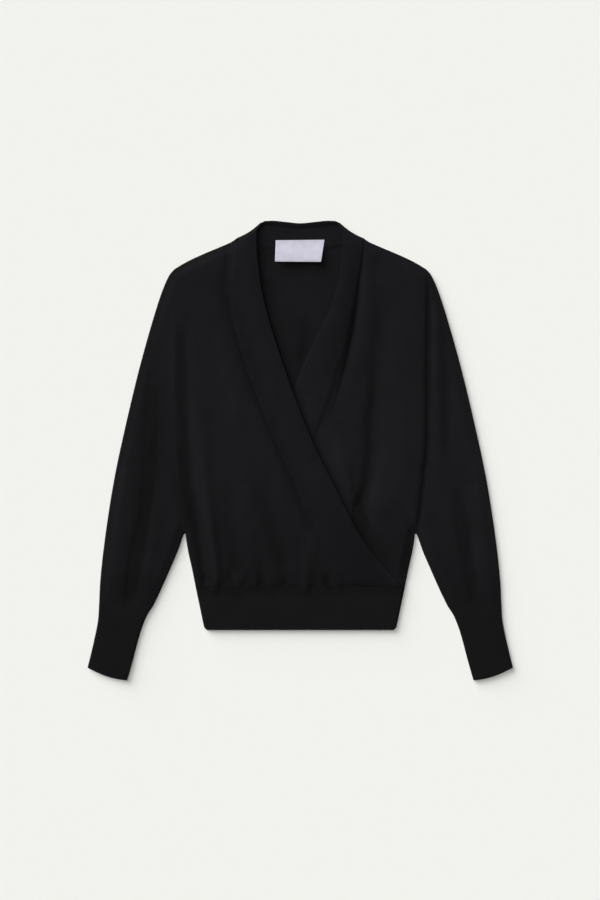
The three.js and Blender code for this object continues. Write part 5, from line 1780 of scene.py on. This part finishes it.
@dataclass(frozen=True)
class Lamp:
    """A broad distant light: its bearing from +X towards +Y, elevation and width in degrees, and its strength."""

    name: str
    azimuth: float
    elevation: float
    size: float
    strength: float

    def build(self) -> None:
        """Make the light."""
        data = bpy.data.lights.new(self.name, "SUN")
        data.energy = self.strength
        data.angle = math.radians(self.size)
        lamp = bpy.data.objects.new(self.name, data)
        lamp.rotation_euler = (0, math.radians(90 - self.elevation), math.radians(self.azimuth))
        bpy.context.scene.collection.objects.link(lamp)


@dataclass
class Studio:
    """The floor, the light and the camera, straight above as in the photograph."""

    pixel: float = 1.45
    middle_px: tuple = (300.2, 450.7)
    image_px: tuple = (600, 900)
    lens: float = 100.0
    sensor: float = 36.0
    clip: tuple = (0.05, 100)
    floor_half: float = 12.0
    floor_colour: tuple = (0.895, 0.903, 0.862)
    fill: float = 0.05
    lamps: tuple = (Lamp("key", 135.0, 28.0, 50.0, 3.5), Lamp("overhead", 135.0, 80.0, 30.0, 1.32))

    def floor(self) -> bpy.types.Object:
        """Make the plain pale floor that the garment lies on."""
        mesh = bpy.data.meshes.new("floor")
        half = self.floor_half
        corners = [(-half, -half, 0), (half, -half, 0), (half, half, 0), (-half, half, 0)]
        mesh.from_pydata(corners, [], [(0, 1, 2, 3)])
        floor = bpy.data.objects.new("floor", mesh)
        bpy.context.scene.collection.objects.link(floor)
        nodes = Nodes("floor_paper")
        nodes.shader.inputs["Base Color"].default_value = (*self.floor_colour, 1)
        nodes.shader.inputs["Roughness"].default_value = 1.0
        nodes.shader.inputs["Specular IOR Level"].default_value = 0.0
        mesh.materials.append(nodes.material)
        return floor

    def light(self) -> None:
        """Light the scene with a broad key from the upper left, a soft light overhead and a little even fill."""
        world = bpy.data.worlds.new("studio")
        world.use_nodes = True
        background = world.node_tree.nodes["Background"]
        background.inputs["Color"].default_value = (1.0, 1.0, 1.0, 1)
        background.inputs["Strength"].default_value = self.fill
        bpy.context.scene.world = world
        for lamp in self.lamps:
            lamp.build()

    def camera(self) -> None:
        """Place the camera straight above, so that a pixel is as wide as in the photograph."""
        data = bpy.data.cameras.new("camera")
        data.lens = self.lens
        data.sensor_width = self.sensor
        camera = bpy.data.objects.new("camera", data)
        height = self.image_px[1] * self.pixel * self.lens / self.sensor
        across = (self.image_px[0] / 2 - self.middle_px[0]) * self.pixel
        up = (self.middle_px[1] - self.image_px[1] / 2) * self.pixel
        camera.location = (across * MM, up * MM, height * MM)
        data.clip_start, data.clip_end = self.clip
        bpy.context.scene.collection.objects.link(camera)
        bpy.context.scene.camera = camera

    def build(self) -> None:
        """Set up the whole studio, with plain colour handling."""
        self.floor()
        self.light()
        self.camera()
        bpy.context.scene.view_settings.view_transform = "Standard"


def main() -> None:
    """Build the garment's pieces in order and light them."""
    logging.basicConfig(level=logging.INFO, format="%(message)s")
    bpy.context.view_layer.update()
    Studio().build()
    walls, outline, cut = Walls(), Outline(), BandCut()
    lie = Lie(outline, cut, walls)
    jersey = KnitFinish("jersey_knit").material()
    rib = KnitFinish("double_knit", colour=(0.0070, 0.0070, 0.0072), rib=2.3).material()
    doubled = KnitFinish("band_knit", colour=(0.0083, 0.0081, 0.0093), rib=1.7, relief=0.4).material()
    neckband = Neckband(lie, cut, doubled)
    Back(lie, neckband.back_seam(), jersey).build()
    Front(lie, Side.RIGHT, neckband.seam(Side.RIGHT), jersey).build()
    Front(lie, Side.LEFT, neckband.seam(Side.LEFT), jersey).build()
    for side in Side:
        Sleeve(lie, side, jersey).build()
        Cuff(lie, side, rib).build()
    Waistband(lie, cut.right[-1], rib).build()
    neckband.build()
    Label(lie, LabelFinish().material()).build()


if __name__ == "__main__":
    main()
